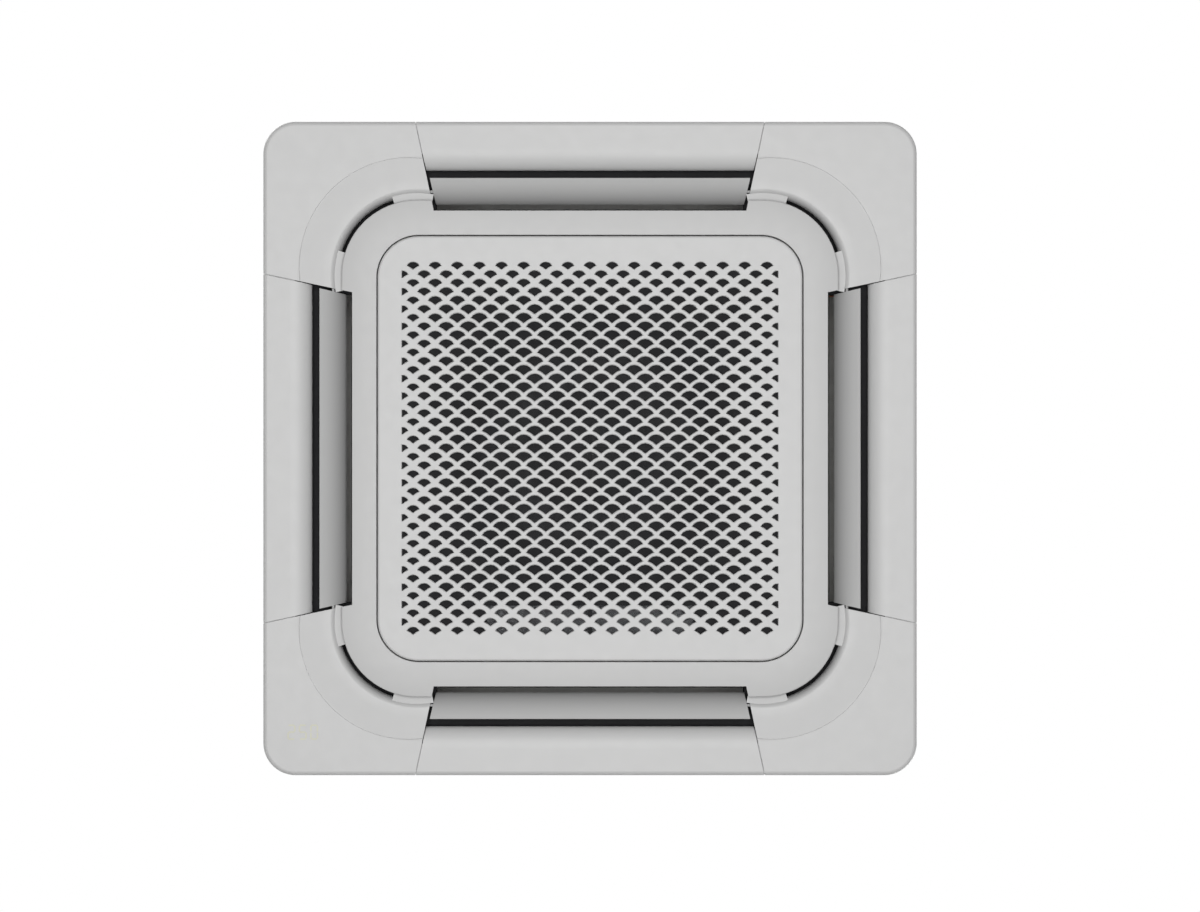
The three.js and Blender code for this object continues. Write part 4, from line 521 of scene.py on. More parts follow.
def panel_frame():
    rim = square_loft([(RIM_HALF, 28, BASE_FLOOR + 1), (RIM_HALF, 28, 0),
                       (RIM_HALF - 3, 25, 0), (RIM_HALF - 3, 25, BASE_FLOOR + 1)])
    meshes = [base_plate(), mesh_from(rim), panel_ring()]
    collar, walls = outlet_walls()
    for k in range(4):
        meshes += [turned_mesh(collar, 90 * k), turned_mesh(walls, 90 * k),
                   mesh_from(groove_floors(), 90 * k),
                   mesh_from(seam_tongues(), 90 * k)]
    for side in (-1, 1):
        boss = moved(turned([(7, -18.5), (7, 2.3)], 32), side * CATCH_X, CATCH_Y)
        meshes.append(carved(mesh_from(boss), mesh_from(moved(catch_bore(), side * CATCH_X, CATCH_Y))))
        guide = loft([lifted([(-x, -y), (x, -y), (x, y), (-x, y)], z) for x, y, z in (
            (3.9, 6.4, -12), (3.9, 6.4, -3.5), (1.9, 4.4, -3.5), (1.9, 4.4, -12))], True)
        meshes.append(mesh_from(moved(guide, side * 170, HINGE_Y)))
    return joined(meshes)


def paint_shade_on(piece, second, chosen):
    """Gives the faces that are chosen by their centre in millimetres and their normal a second finish, used
    here for painted shade.
    """
    piece.data.materials.append(second)
    for polygon in piece.data.polygons:
        if chosen(polygon.center / MM, polygon.normal):
            polygon.material_index = 1


def duct_faces_painted_dark(centre, normal):
    """Faces inside an outlet or behind the covers, which get a near-black colour as painted shade."""
    across, along = max(abs(centre.x), abs(centre.y)), min(abs(centre.x), abs(centre.y))
    if along < seam_at(across) + 3.6:
        return -30.2 < centre.z < 9.5 and SLOT_INNER - 3.5 < across < LIP_OUTER + 1
    return -17 < centre.z < BASE_TOP - 0.1


# The frame moulding takes the ring's darker copy of the white plastic, whose darkness is painted shade.
frame_piece = add_piece("panel_frame_moulding", panel_frame(), RING_SHADED_ABS,
                        "unit", ["panel_frame"])
# Faces inside the outlets and behind the covers get a near-black painted shade.
paint_shade_on(frame_piece, DUCT_PAINTED_SHADE, duct_faces_painted_dark)
cover_mesh, cap_mesh = mesh_from(side_cover()), corner_cap()
for k in range(4):
    add_piece(f"side_cover_moulding_{SIDES[k]}", turned_mesh(cover_mesh, 90 * k), WHITE_ABS,
              "unit", [f"side_cover_{SIDES[k]}"], edge=0.25)
    add_piece(f"corner_cap_moulding_{CORNERS[k]}", turned_mesh(cap_mesh, 90 * k), WHITE_ABS,
              "unit", [f"corner_cap_{CORNERS[k]}"])

# ---------------------------------------------------------------- air vanes

VANE_RADIUS = 55 / 2 / sin(radians(25))
VANE_WALL = 2.5


def vane_arc(depth, steps=22):
    """The vane's curve at rest as (u, z) points, at a depth in its wall."""
    belly, half_turn = radians(-90 - 48.6), radians(25)
    back = VANE_RADIUS * cos(half_turn)
    u, z = VANE_U - back * cos(belly), VANE_Z - back * sin(belly)
    angles = [belly - half_turn + i / steps * 2 * half_turn for i in range(steps + 1)]
    return [(u + (VANE_RADIUS - depth) * cos(a), z + (VANE_RADIUS - depth) * sin(a)) for a in angles]


def vane_section():
    """The vane's curved section with both its long edges rounded."""
    def drawn_in(points, share=0.45):
        first, last = Vector(points[0]), Vector(points[-1])
        inner = points[1:-1]
        return ([tuple(first.lerp(Vector(inner[0]), share))] + inner
                + [tuple(last.lerp(Vector(inner[-1]), share))])

    middle = vane_arc(VANE_WALL / 2)
    return drawn_in(vane_arc(0)) + [middle[-1]] + drawn_in(vane_arc(VANE_WALL))[::-1] + [middle[0]]


def vane():
    skin = side_sweep(vane_section(), 4)
    pins = [rod_along_t(2, 220, 235.7, VANE_U, VANE_Z), rod_along_t(2, -242.5, -220, VANE_U, VANE_Z)]
    ribs = []
    for start in (218, -221):
        ribs.append(rod_along_t(4, start, start + 3, VANE_U, VANE_Z))
        ribs.append(loft([[(u, t, z) for u, z in vane_arc(VANE_WALL / 2)] for t in (start, start + 3)]))
    return together(skin, *pins, *ribs)


# The vanes take the darker copy of the white plastic, whose darkness is painted shade.
for k, side in enumerate(SIDES):
    add_piece(f"air_vane_moulding_{side}", mesh_from(vane(), 90 * k), VANE_SHADED_ABS,
              f"vane_{side}", [f"air_vane_{side}"])

# ---------------------------------------------------------------- intake grille

CELL_X, CELL_Y = 16.03, 12.6  # half the width and height of a lattice cell
FULL_X, FULL_Y, FADE = 176.5, 184.6, 80  # openings beyond these shrink over the fade
EDGE_OPENING = 0.72  # size of the outermost openings


def scale_opening():
    """One opening: a fan with an arched top and two drawn-in lower sides."""
    arch = [(13.84 * cos(radians(a)), 7.14 + 13.84 * sin(radians(a)))
            for a in (-28.2, -48, -69, -90, -111, -132, -151.8)]
    return arch + [(-8.6, 1.9), (-5.4, 3.7), (-2.3, 6.2), (0, 7.9), (2.3, 6.2), (5.4, 3.7), (8.6, 1.9)]


def half_opening(hand):
    """The half of an opening on one side of its middle."""
    points = [(x * hand, y) for x, y in scale_opening() if x >= -0.01]
    low, high = [p for p in points if p[1] > 0.6], [p for p in points if p[1] <= 0.6]
    low.sort(key=lambda p: -p[1])
    high.sort(key=lambda p: abs(p[0]))
    return high + low[::-1] if hand > 0 else (high + low[::-1])[::-1]


def grown(points, margin):
    """A closed outline pushed outwards along its corners."""
    area = sum(a[0] * b[1] - b[0] * a[1] for a, b in zip(points, points[1:] + points[:1]))
    side = margin if area > 0 else -margin
    result = []
    for i, (x, y) in enumerate(points):
        before, after = points[i - 1], points[(i + 1) % len(points)]
        dx, dy = after[0] - before[0], after[1] - before[1]
        length = hypot(dx, dy)
        result.append((x + dy / length * side, y - dx / length * side))
    return result


def lattice_tile(name, outline, opening):
    """A lattice cell with its opening's rounded lip. The opening's points are marked rim."""
    bm = bmesh.new()
    rim = bm.verts.layers.float.new("rim")

    def loop(points, z, mark=0.0):
        verts = [bm.verts.new((x * MM, y * MM, z * MM)) for x, y in points]
        for vert in verts:
            vert[rim] = mark
        return verts, [bm.edges.new((verts[i - 1], verts[i])) for i in range(len(verts))]

    loops = []
    for margin, z in ((1.6, GRILLE_FLOOR), (0.8, GRILLE_FLOOR + 0.55), (0.2, GRILLE_FLOOR + 1.4),
                      (0, GRILLE_BACK)):
        loops.append(loop(grown(opening, margin) if margin else opening, z, 1.0))
    for (upper, _), (lower, _) in zip(loops, loops[1:]):
        for i in range(len(upper)):
            bm.faces.new((upper[i - 1], lower[i - 1], lower[i], upper[i]))
    for z, (_, rim_edges) in ((GRILLE_FLOOR, loops[0]), (GRILLE_BACK, loops[-1])):
        bmesh.ops.triangle_fill(bm, use_beauty=True, edges=loop(outline, z)[1] + rim_edges)
    mesh = bpy.data.meshes.new(name)
    bm.to_mesh(mesh)
    bm.free()
    return linked(name, mesh)


def new_tree(name, sizes):
    """An empty Geometry Nodes tree with named inputs, and what is needed to fill it."""
    tree = bpy.data.node_groups.new(name, "GeometryNodeTree")
    tree.interface.new_socket("Geometry", in_out="OUTPUT", socket_type="NodeSocketGeometry")
    for label, kind in sizes:
        tree.interface.new_socket(label, in_out="INPUT", socket_type=f"NodeSocket{kind}")
    entry, result = tree.nodes.new("NodeGroupInput"), tree.nodes.new("NodeGroupOutput")

    def node(kind, inputs=(), **settings):
        """A node with its settings. Inputs are (socket, value or output)."""
        made = tree.nodes.new(kind)
        for key, value in settings.items():
            setattr(made, key, value)
        for key, value in inputs:
            if isinstance(value, bpy.types.NodeSocket):
                tree.links.new(value, made.inputs[key])
            else:
                made.inputs[key].default_value = value
        return made

    return tree, node, entry.outputs, result.inputs["Geometry"]


def grown_by_nodes(name, tree, values):
    """The plain mesh that a tree makes from the values of its named inputs."""
    maker = linked(name, bpy.data.meshes.new(name))
    modifier = maker.modifiers.new("pattern", "NODES")
    modifier.node_group = tree
    for item in tree.interface.items_tree:
        if item.in_out == "INPUT":
            modifier[item.identifier] = values[item.name]
    return evaluated_mesh(maker)


def repeated(node, tile, count_x, count_y, pitch_x, pitch_y, middle):
    """Copies of a tile on a grid about a middle, each with its own place stored as centre."""
    def times(a, b):
        return node("ShaderNodeMath", [(0, a), (1, b)], operation="MULTIPLY").outputs[0]

    def less_one(a):
        return node("ShaderNodeMath", [(0, a), (1, 1.0)], operation="SUBTRACT").outputs[0]

    grid = node("GeometryNodeMeshGrid", [
        ("Size X", times(less_one(count_x), pitch_x)), ("Size Y", times(less_one(count_y), pitch_y)),
        ("Vertices X", count_x), ("Vertices Y", count_y)])
    placed = node("GeometryNodeTransform", [("Geometry", grid.outputs["Mesh"]), ("Translation", middle)])
    source = node("GeometryNodeObjectInfo", [("Object", tile)])
    copies = node("GeometryNodeInstanceOnPoints", [
        ("Points", placed.outputs["Geometry"]), ("Instance", source.outputs["Geometry"])])
    place = node("GeometryNodeInputPosition").outputs["Position"]
    return node("GeometryNodeStoreNamedAttribute", [
        ("Geometry", copies.outputs["Instances"]), ("Name", "centre"), ("Value", place)],
        data_type="FLOAT_VECTOR", domain="INSTANCE").outputs["Geometry"]


def lattice_tree():
    """The fan lattice: two interleaved grids of cells and a column of half cells on either side, with
    openings that shrink towards the border."""
    tree, node, given, result = new_tree("fan lattice", [
        ("Cell", "Object"), ("Right Half Cell", "Object"), ("Left Half Cell", "Object"),
        ("Columns", "Int"), ("Rows", "Int"), ("Pitch X", "Float"), ("Pitch Y", "Float"),
        ("Middle Y", "Float"),
        ("Half Column X", "Float"), ("Full Until X", "Float"), ("Full Until Y", "Float"), ("Fade", "Float"),
        ("Edge Opening", "Float"), ("Finish", "Material")])

    def math(kind, a, b):
        return node("ShaderNodeMath", [(0, a), (1, b)], operation=kind).outputs[0]

    def at(x):
        return node("ShaderNodeCombineXYZ", [("X", x), ("Y", given["Middle Y"])]).outputs["Vector"]

    fewer_columns, fewer_rows = math("SUBTRACT", given["Columns"], 1.0), math("SUBTRACT", given["Rows"], 1.0)
    pitch = (given["Pitch X"], given["Pitch Y"])
    grids = [
        repeated(node, given["Cell"], given["Columns"], given["Rows"], *pitch, at(0.0)),
        repeated(node, given["Cell"], fewer_columns, fewer_rows, *pitch, at(0.0)),
        repeated(node, given["Left Half Cell"], 1, fewer_rows, *pitch, at(given["Half Column X"])),
        repeated(node, given["Right Half Cell"], 1, fewer_rows, *pitch,
                 at(math("MULTIPLY", given["Half Column X"], -1.0)))]
    all_cells = node("GeometryNodeJoinGeometry")
    for grid in grids:
        tree.links.new(grid, all_cells.inputs["Geometry"])
    real = node("GeometryNodeRealizeInstances", [("Geometry", all_cells.outputs["Geometry"])])
    centre = node("GeometryNodeInputNamedAttribute", [("Name", "centre")], data_type="FLOAT_VECTOR")
    rim = node("GeometryNodeInputNamedAttribute", [("Name", "rim")], data_type="FLOAT")
    parts = node("ShaderNodeSeparateXYZ", [("Vector", centre.outputs["Attribute"])])
    beyond = math("MAXIMUM",
                  math("SUBTRACT", math("ABSOLUTE", parts.outputs["X"], 0.0), given["Full Until X"]),
                  math("SUBTRACT", math("ABSOLUTE", parts.outputs["Y"], 0.0), given["Full Until Y"]))
    share = node("ShaderNodeMapRange", [
        ("Value", math("DIVIDE", beyond, given["Fade"])), ("To Min", 1.0), ("To Max", given["Edge Opening"])])
    place = node("GeometryNodeInputPosition").outputs["Position"]
    offset = node("ShaderNodeVectorMath", [(0, place), (1, centre.outputs["Attribute"])],
                  operation="SUBTRACT")
    size = node("ShaderNodeCombineXYZ", [
        ("X", math("SUBTRACT", share.outputs["Result"], 1.0)),
        ("Y", math("SUBTRACT", share.outputs["Result"], 1.0))])
    shift = node("ShaderNodeVectorMath", [(0, offset.outputs[0]), (1, size.outputs["Vector"])],
                 operation="MULTIPLY")
    marked = node("ShaderNodeVectorMath", [(0, shift.outputs[0])], operation="SCALE")
    tree.links.new(rim.outputs["Attribute"], marked.inputs["Scale"])
    fitted = node("GeometryNodeSetPosition", [
        ("Geometry", real.outputs["Geometry"]), ("Offset", marked.outputs[0])])
    welded = node("GeometryNodeMergeByDistance", [
        ("Geometry", fitted.outputs["Geometry"]), ("Distance", 0.00005)])
    finished = node("GeometryNodeSetMaterial", [
        ("Geometry", welded.outputs["Geometry"]), ("Material", given["Finish"])])
    tree.links.new(finished.outputs["Geometry"], result)
    return tree


def lattice_mesh():
    cell = [(CELL_X, 0), (0, CELL_Y), (-CELL_X, 0), (0, -CELL_Y)]
    half_cell = [(-2.2, -CELL_Y), (0, -CELL_Y), (CELL_X, 0), (0, CELL_Y), (-2.2, CELL_Y)]
    mirrored = [(-x, y) for x, y in half_cell][::-1]
    tiles = [lattice_tile("lattice cell", cell, scale_opening()),
             lattice_tile("half cell left", half_cell, half_opening(1)),
             lattice_tile("half cell right", mirrored, half_opening(-1))]
    values = {"Cell": tiles[0], "Left Half Cell": tiles[1], "Right Half Cell": tiles[2],
              "Columns": 17, "Rows": 22, "Pitch X": 2 * CELL_X * MM, "Pitch Y": 2 * CELL_Y * MM,
              "Middle Y": -0.8 * MM, "Half Column X": -17 * CELL_X * MM, "Full Until X": FULL_X * MM,
              "Full Until Y": FULL_Y * MM, "Fade": FADE * MM, "Edge Opening": EDGE_OPENING,
              "Finish": WHITE_ABS}
    mesh = grown_by_nodes("lattice maker", lattice_tree(), values)
    for tile in tiles:
        bpy.data.objects.remove(tile)
    return mesh


def intake_grille():
    """The lattice in its flat border and the rolled rim round it."""
    bm = bmesh.new()
    bm.from_mesh(lattice_mesh())

    def loop(half, z):
        points = rounded_square(half, GRILLE_CORNER - (GRILLE_HALF - half))
        verts = [bm.verts.new((x * MM, y * MM, z * MM)) for x, y in points]
        return verts, [bm.edges.new((verts[i - 1], verts[i])) for i in range(len(verts))]

    open_edges = [edge for edge in bm.edges if edge.is_boundary]
    turns = [i / 6 * pi / 2 for i in range(7)]
    sections = [(GRILLE_HALF - 3 * (1 - sin(a)), GRILLE_FLOOR + 3 * (1 - cos(a))) for a in turns]
    sections += [(GRILLE_HALF, GRILLE_FLOOR + 9), (GRILLE_HALF - 3, GRILLE_FLOOR + 9),
                 (GRILLE_HALF - 3, GRILLE_BACK)]
    loops = [loop(half, z) for half, z in sections]
    for (a, _), (b, _) in zip(loops, loops[1:]):
        for i in range(len(a)):
            bm.faces.new((a[i - 1], b[i - 1], b[i], a[i]))
    for z, (_, border) in ((GRILLE_FLOOR, loops[0]), (GRILLE_BACK, loops[-1])):
        level = [e for e in open_edges if abs(e.verts[0].co.z - z * MM) < 0.0005]
        bmesh.ops.triangle_fill(bm, use_beauty=True, edges=level + border)
    bmesh.ops.remove_doubles(bm, verts=bm.verts, dist=0.00001)
    bmesh.ops.recalc_face_normals(bm, faces=bm.faces)
    mesh = bpy.data.meshes.new("grille")
    bm.to_mesh(mesh)
    bm.free()
    for name in [a.name for a in mesh.attributes if a.name in ("rim", "centre")]:
        mesh.attributes.remove(mesh.attributes[name])
    return mesh


def flat_front(face):
    return abs(face.normal.z) > 0.995


def shade_sheet(mesh, limit=50):
    """Smooth rounded lips on a sheet whose flat front and back stay flat."""
    bm = bmesh.new()
    bm.from_mesh(mesh)
    for face in bm.faces:
        face.smooth = True
    for edge in bm.edges:
        faces = edge.link_faces
        edge.smooth = (len(faces) == 2 and flat_front(faces[0]) == flat_front(faces[1])
                       and edge.calc_face_angle(0) < radians(limit))
    bm.to_mesh(mesh)
    bm.free()


def rod_along_x(radius, start, end, y, z, steps=20):
    circle = [(radius * cos(2 * pi * i / steps), radius * sin(2 * pi * i / steps)) for i in range(steps)]
    return loft([[(x, y + a, z + b) for a, b in circle] for x in (start, end)])


def grille_hinges():
    """The two pairs of ears behind the grille's upper border, each with its pin."""
    shells = []
    for side in (-1, 1):
        x = side * 170
        for hand in (-1, 1):
            near, far = sorted((x + hand * 5, x + hand * 8))
            shells.append(box(near, far, HINGE_Y - 4, HINGE_Y + 4, GRILLE_BACK - 0.2, HINGE_Z + 2.8))
        shells.append(rod_along_x(1.8, x - 5.5, x + 5.5, HINGE_Y, HINGE_Z))
    return mesh_from(together(*shells))


grille_piece = linked("intake_grille_lattice", intake_grille())
shade_sheet(grille_piece.data)
grille_piece.data.materials.clear()
grille_piece.data.materials.append(WHITE_ABS)
for polygon in grille_piece.data.polygons:
    polygon.material_index = 0
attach(grille_piece, "grille")
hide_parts("intake_grille")
add_piece("intake_grille_hinges", grille_hinges(), WHITE_ABS, "grille", ["intake_grille"])

# ---------------------------------------------------------------- filter net

def net_tree():
    """Two layers of fine bars, one across the other, at one pitch."""
    tree, node, given, result = new_tree("filter net", [
        ("Half Width", "Float"), ("Bars", "Int"), ("Bar Width", "Float"), ("Height", "Float"),
        ("Finish", "Material")])

    def math(kind, a, b):
        return node("ShaderNodeMath", [(0, a), (1, b)], operation=kind).outputs[0]

    length = math("MULTIPLY", given["Half Width"], 2.0)
    pitch = math("DIVIDE", length, math("SUBTRACT", given["Bars"], 1.0))
    layers = node("GeometryNodeJoinGeometry")
    for axis, across in (("X", "Y"), ("Y", "X")):
        size = node("ShaderNodeCombineXYZ", [
            (across, length), (axis, given["Bar Width"]), ("Z", given["Bar Width"])])
        bar = node("GeometryNodeMeshCube", [("Size", size.outputs["Vector"])])
        step = node("ShaderNodeCombineXYZ", [(axis, pitch)])
        start = node("ShaderNodeCombineXYZ", [
            (axis, math("MULTIPLY", given["Half Width"], -1.0)),
            ("Z", given["Height"] if axis == "X" else math("ADD", given["Height"], given["Bar Width"]))])
        row = node("GeometryNodeMeshLine", [
            ("Count", given["Bars"]), ("Start Location", start.outputs["Vector"]),
            ("Offset", step.outputs["Vector"])], mode="OFFSET")
        bars = node("GeometryNodeInstanceOnPoints", [
            ("Points", row.outputs["Mesh"]), ("Instance", bar.outputs["Mesh"])])
        tree.links.new(bars.outputs["Instances"], layers.inputs["Geometry"])
    real = node("GeometryNodeRealizeInstances", [("Geometry", layers.outputs["Geometry"])])
    finished = node("GeometryNodeSetMaterial", [
        ("Geometry", real.outputs["Geometry"]), ("Material", given["Finish"])])
    tree.links.new(finished.outputs["Geometry"], result)
    return tree


net_mesh = grown_by_nodes("net maker", net_tree(), {
    "Half Width": 271.5 * MM, "Bars": 340, "Bar Width": 0.75 * MM, "Height": -31.5 * MM, "Finish": NET})
add_piece("filter_net_weave", net_mesh, NET, "grille", ["filter_mesh"])

# ---------------------------------------------------------------- fan

BELL_FLOOR, BELL_TOP, BELL_THROAT, BELL_MOUTH = 11, 69, 163, 222
SHROUD_FLOOR, SHROUD_INLET, WHEEL_RADIUS = 52, 172, 235
HUB_TOP, HUB_FLOOR, HUB_CUP = 205, 150, 86
MOTOR_FLOOR, MOTOR_TOP, MOTOR_RADIUS = 192, 253.2, 72


def quarter(steps):
    return [i / steps * pi / 2 for i in range(steps + 1)]


def bell_mouth():
    """The flared inlet ring in its square plate."""
    def wall(inset):
        return [(BELL_MOUTH - (BELL_MOUTH - BELL_THROAT - inset) * sin(a),
                 BELL_TOP - (BELL_TOP - BELL_FLOOR - inset) * cos(a)) for a in quarter(14)]

    horn = mesh_from(turned(wall(0) + wall(2.5)[::-1], 120, True))
    plate = mesh_from(prism(rounded_square(275, 40), BELL_FLOOR, BELL_FLOOR + 2.5))
    hole = mesh_from(turned([(BELL_MOUTH - 2, 0), (BELL_MOUTH - 2, 30)], 120))
    return joined([horn, carved(plate, hole)])


def shroud_at(radius):
    """Height of the shroud's lower skin at a radius."""
    share = min(max((radius - SHROUD_INLET) / (WHEEL_RADIUS - SHROUD_INLET), 0), 1)
    return SHROUD_FLOOR + 54 * sqrt(1 - (1 - share) ** 2)


def fan_blade(steps=16):
    """A backward-swept blade from the inlet to the rim, thin at both edges."""
    sections = []
    for i in range(steps + 1):
        share = i / steps
        radius = 165 + (WHEEL_RADIUS - 1 - 165) * share
        angle = -radians(38) * share ** 1.2
        across = 2.5 * (0.35 + sin(pi * share)) / radius
        low = max(74, shroud_at(radius) + 1)
        points = [(radius * cos(angle + side * across), radius * sin(angle + side * across))
                  for side in (1, -1)]
        sections.append([(*points[0], low), (*points[0], HUB_TOP + 1),
                         (*points[1], HUB_TOP + 1), (*points[1], low)])
    return loft(sections)


def fan_wheel():
    """The hub with its cup and disc, the shroud and seven blades."""
    boss, bore = 14, 5.3
    cup = [(40 + (HUB_CUP - 40) * sin(a), HUB_FLOOR + 2 + (HUB_TOP - 9 - HUB_FLOOR - 2) * (1 - cos(a)))
           for a in quarter(8)]
    inside = [(38 + (HUB_CUP - 3 - 38) * sin(a), HUB_FLOOR + 5 + (HUB_TOP - 6 - HUB_FLOOR - 5) * (1 - cos(a)))
              for a in quarter(8)]
    hub = turned(
        [(bore, HUB_FLOOR - 3), (boss, HUB_FLOOR - 3), (boss, HUB_FLOOR)] + cup
        + [(HUB_CUP + 12, HUB_TOP), (WHEEL_RADIUS, HUB_TOP), (WHEEL_RADIUS, HUB_TOP + 3),
           (HUB_CUP + 11, HUB_TOP + 3)]
        + inside[::-1] + [(boss, HUB_FLOOR + 14), (bore, HUB_FLOOR + 14)], 120, True)
    radii = [SHROUD_INLET + (WHEEL_RADIUS - SHROUD_INLET) * (1 - cos(a)) for a in quarter(14)]
    skin = [(r, shroud_at(r)) for r in radii]
    back = [(radii[0] + 3, SHROUD_FLOOR)] + [(r, shroud_at(r) + 3) for r in radii[1:]]
    shroud = turned(skin + back[::-1], 120, True)
    blades = [moved(fan_blade(), turn=360 / 7 * i) for i in range(7)]
    return together(hub, shroud, *blades)


def fan_motor():
    """The outer-rotor motor's can with its ribs and three arms."""
    can = turned([(5.3, MOTOR_FLOOR), (26, MOTOR_FLOOR), (27, MOTOR_FLOOR + 1.5), (58, MOTOR_FLOOR + 1.5)]
                 + [(MOTOR_RADIUS - 10 + 10 * sin(a), MOTOR_FLOOR + 9.5 - 8 * cos(a)) for a in quarter(6)]
                 + [(MOTOR_RADIUS, 221), (MOTOR_RADIUS - 1.5, 221.5),
                    (MOTOR_RADIUS - 1.5, 224.5), (MOTOR_RADIUS, 225),
                    (MOTOR_RADIUS, MOTOR_TOP), (5.3, MOTOR_TOP)], 96, True)
    shells = [can]
    for k in range(3):
        shells.append(moved(box(MOTOR_RADIUS - 5, 96, -9, 9, MOTOR_TOP - 3, MOTOR_TOP), turn=120 * k))
    return together(*shells)


def motor_bushes():
    bush = turned([(3, MOTOR_TOP - 11), (6.5, MOTOR_TOP - 11), (8, MOTOR_TOP - 9.5),
                   (8, MOTOR_TOP - 3.1), (3, MOTOR_TOP - 3.1)],
                  32, True)
    return together(*[moved(moved(bush, 88), turn=120 * k) for k in range(3)])


add_piece("bell_mouth_moulding", bell_mouth(), GREY_PLASTIC, "unit", ["bell_mouth"])
add_piece("fan_wheel_moulding", mesh_from(fan_wheel()), WHEEL_ABS, "fan", ["impeller"])
add_piece("fan_motor_can", mesh_from(fan_motor()), PAINTED_MOTOR, "unit", ["fan_motor"])
add_piece("fan_motor_bushes", mesh_from(motor_bushes()), RUBBER, "unit")

# ---------------------------------------------------------------- coil

def fin_tree():
    """Thin plates that stand across a path at one pitch."""
    tree, node, given, result = new_tree("coil fins", [
        ("Path", "Object"), ("Pitch", "Float"), ("Depth", "Float"), ("Thickness", "Float"),
        ("Tallness", "Float"),
        ("Finish", "Material")])
    path = node("GeometryNodeObjectInfo", [("Object", given["Path"])])
    curve = node("GeometryNodeMeshToCurve", [("Mesh", path.outputs["Geometry"])])
    spaced = node("GeometryNodeResampleCurve", [("Curve", curve.outputs["Curve"]),
                                                ("Length", given["Pitch"])],
                  mode="LENGTH")
    size = node("ShaderNodeCombineXYZ", [
        ("X", given["Thickness"]), ("Y", given["Depth"]), ("Z", given["Tallness"])])
    fin = node("GeometryNodeMeshCube", [("Size", size.outputs["Vector"])])
    along = node("GeometryNodeInputTangent")
    turn = node("FunctionNodeAlignRotationToVector", [("Vector", along.outputs["Tangent"])],
                axis="X", pivot_axis="Z")
    fins = node("GeometryNodeInstanceOnPoints", [
        ("Points", spaced.outputs["Curve"]), ("Instance", fin.outputs["Mesh"]),
        ("Rotation", turn.outputs["Rotation"])])
    real = node("GeometryNodeRealizeInstances", [("Geometry", fins.outputs["Instances"])])
    finished = node("GeometryNodeSetMaterial", [
        ("Geometry", real.outputs["Geometry"]), ("Material", given["Finish"])])
    tree.links.new(finished.outputs["Geometry"], result)
    return tree


COIL_MIDDLE, COIL_BEND, COIL_END = 300, 60, 190


def coil_path(offset=0):
    """The coil's open square path from the right side round to the rear, at an offset outwards."""
    half, bend = COIL_MIDDLE + offset, COIL_BEND + offset
    points = [(half, -COIL_END + 1)]
    for sx, sy, first in ((1, 1, 0), (-1, 1, 1), (-1, -1, 2)):
        for i in range(13):
            a = (first + i / 12) * pi / 2
            points.append((sx * (half - bend) + bend * cos(a), sy * (half - bend) + bend * sin(a)))
    return points + [(COIL_END - 1, -half)]


low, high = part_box("heat_exchanger")
coil_middle_z, coil_height = (low[2] + high[2]) / 2, (high[2] - low[2]) / MM
path_mesh = bpy.data.meshes.new("coil path")
path_points = coil_path()
path_mesh.from_pydata([(x * MM, y * MM, coil_middle_z) for x, y in path_points],
                      [(i, i + 1) for i in range(len(path_points) - 1)], [])
path_guide = linked("coil path", path_mesh)
fin_mesh = grown_by_nodes("fin maker", fin_tree(), {
    "Path": path_guide, "Pitch": 2.6 * MM, "Depth": 35.4 * MM, "Thickness": 0.25 * MM,
    "Tallness": (coil_height - 1) * MM, "Finish": FIN_STOCK})
bpy.data.objects.remove(path_guide)
add_piece("coil_fins", fin_mesh, FIN_STOCK, "unit", ["heat_exchanger"])


def coil_tube(offset, z, radius=4, sides=10):
    """A tube through the fins along the path."""
    path = [Vector((x, y)) for x, y in coil_path(offset)]
    loops = []
    for i, point in enumerate(path):
        before, after = path[max(i - 1, 0)], path[min(i + 1, len(path) - 1)]
        along = (after - before).normalized()
        across = Vector((along.y, -along.x))
        loops.append([(point.x + across.x * radius * cos(2 * pi * k / sides),
                       point.y + across.y * radius * cos(2 * pi * k / sides),
                       z + radius * sin(2 * pi * k / sides)) for k in range(sides)])
    return loft(loops)


tubes = [coil_tube(side * 9, low[2] / MM + 10 + (coil_height - 20) * (i + 0.5) / 9)
         for side in (-1, 1) for i in range(9)]
add_piece("coil_tubes", mesh_from(together(*tubes)), COPPER, "unit", ["heat_exchanger"])

# ---------------------------------------------------------------- display

SEGMENTS = {"2": "abged", "5": "afgcd", "0": "abcdef"}


def digit(figure, x, y, wide=9.5, high=20, stroke=2.2):
    """One seven-segment figure as thin bars, upright in the photograph."""
    half = high / 2
    bars = {"a": (0, wide, half, half), "g": (0, wide, 0, 0), "d": (0, wide, -half, -half),
            "f": (0, 0, 0, half), "b": (wide, wide, 0, half), "e": (0, 0, -half, 0),
            "c": (wide, wide, -half, 0)}
    shells = []
    for segment in SEGMENTS[figure]:
        x0, x1, y0, y1 = bars[segment]
        ends = 0.35 - stroke / 2
        if y0 == y1:
            x0, x1, y0, y1 = x0 - ends, x1 + ends, y0 - stroke / 2, y1 + stroke / 2
        else:
            x0, x1, y0, y1 = x0 - stroke / 2, x1 + stroke / 2, y0 - ends, y1 + ends
        shells.append(box(x + x0, x + x1, y - y1, y - y0, PANEL_FACE - 0.06, PANEL_FACE + 0.2))
    return shells


figures = []
for place, figure in enumerate("250"):
    figures += digit(figure, -438.5 + 16.5 * place, 412)
add_piece("display_figures", mesh_from(together(*figures)), DISPLAY_GLOW, "unit")
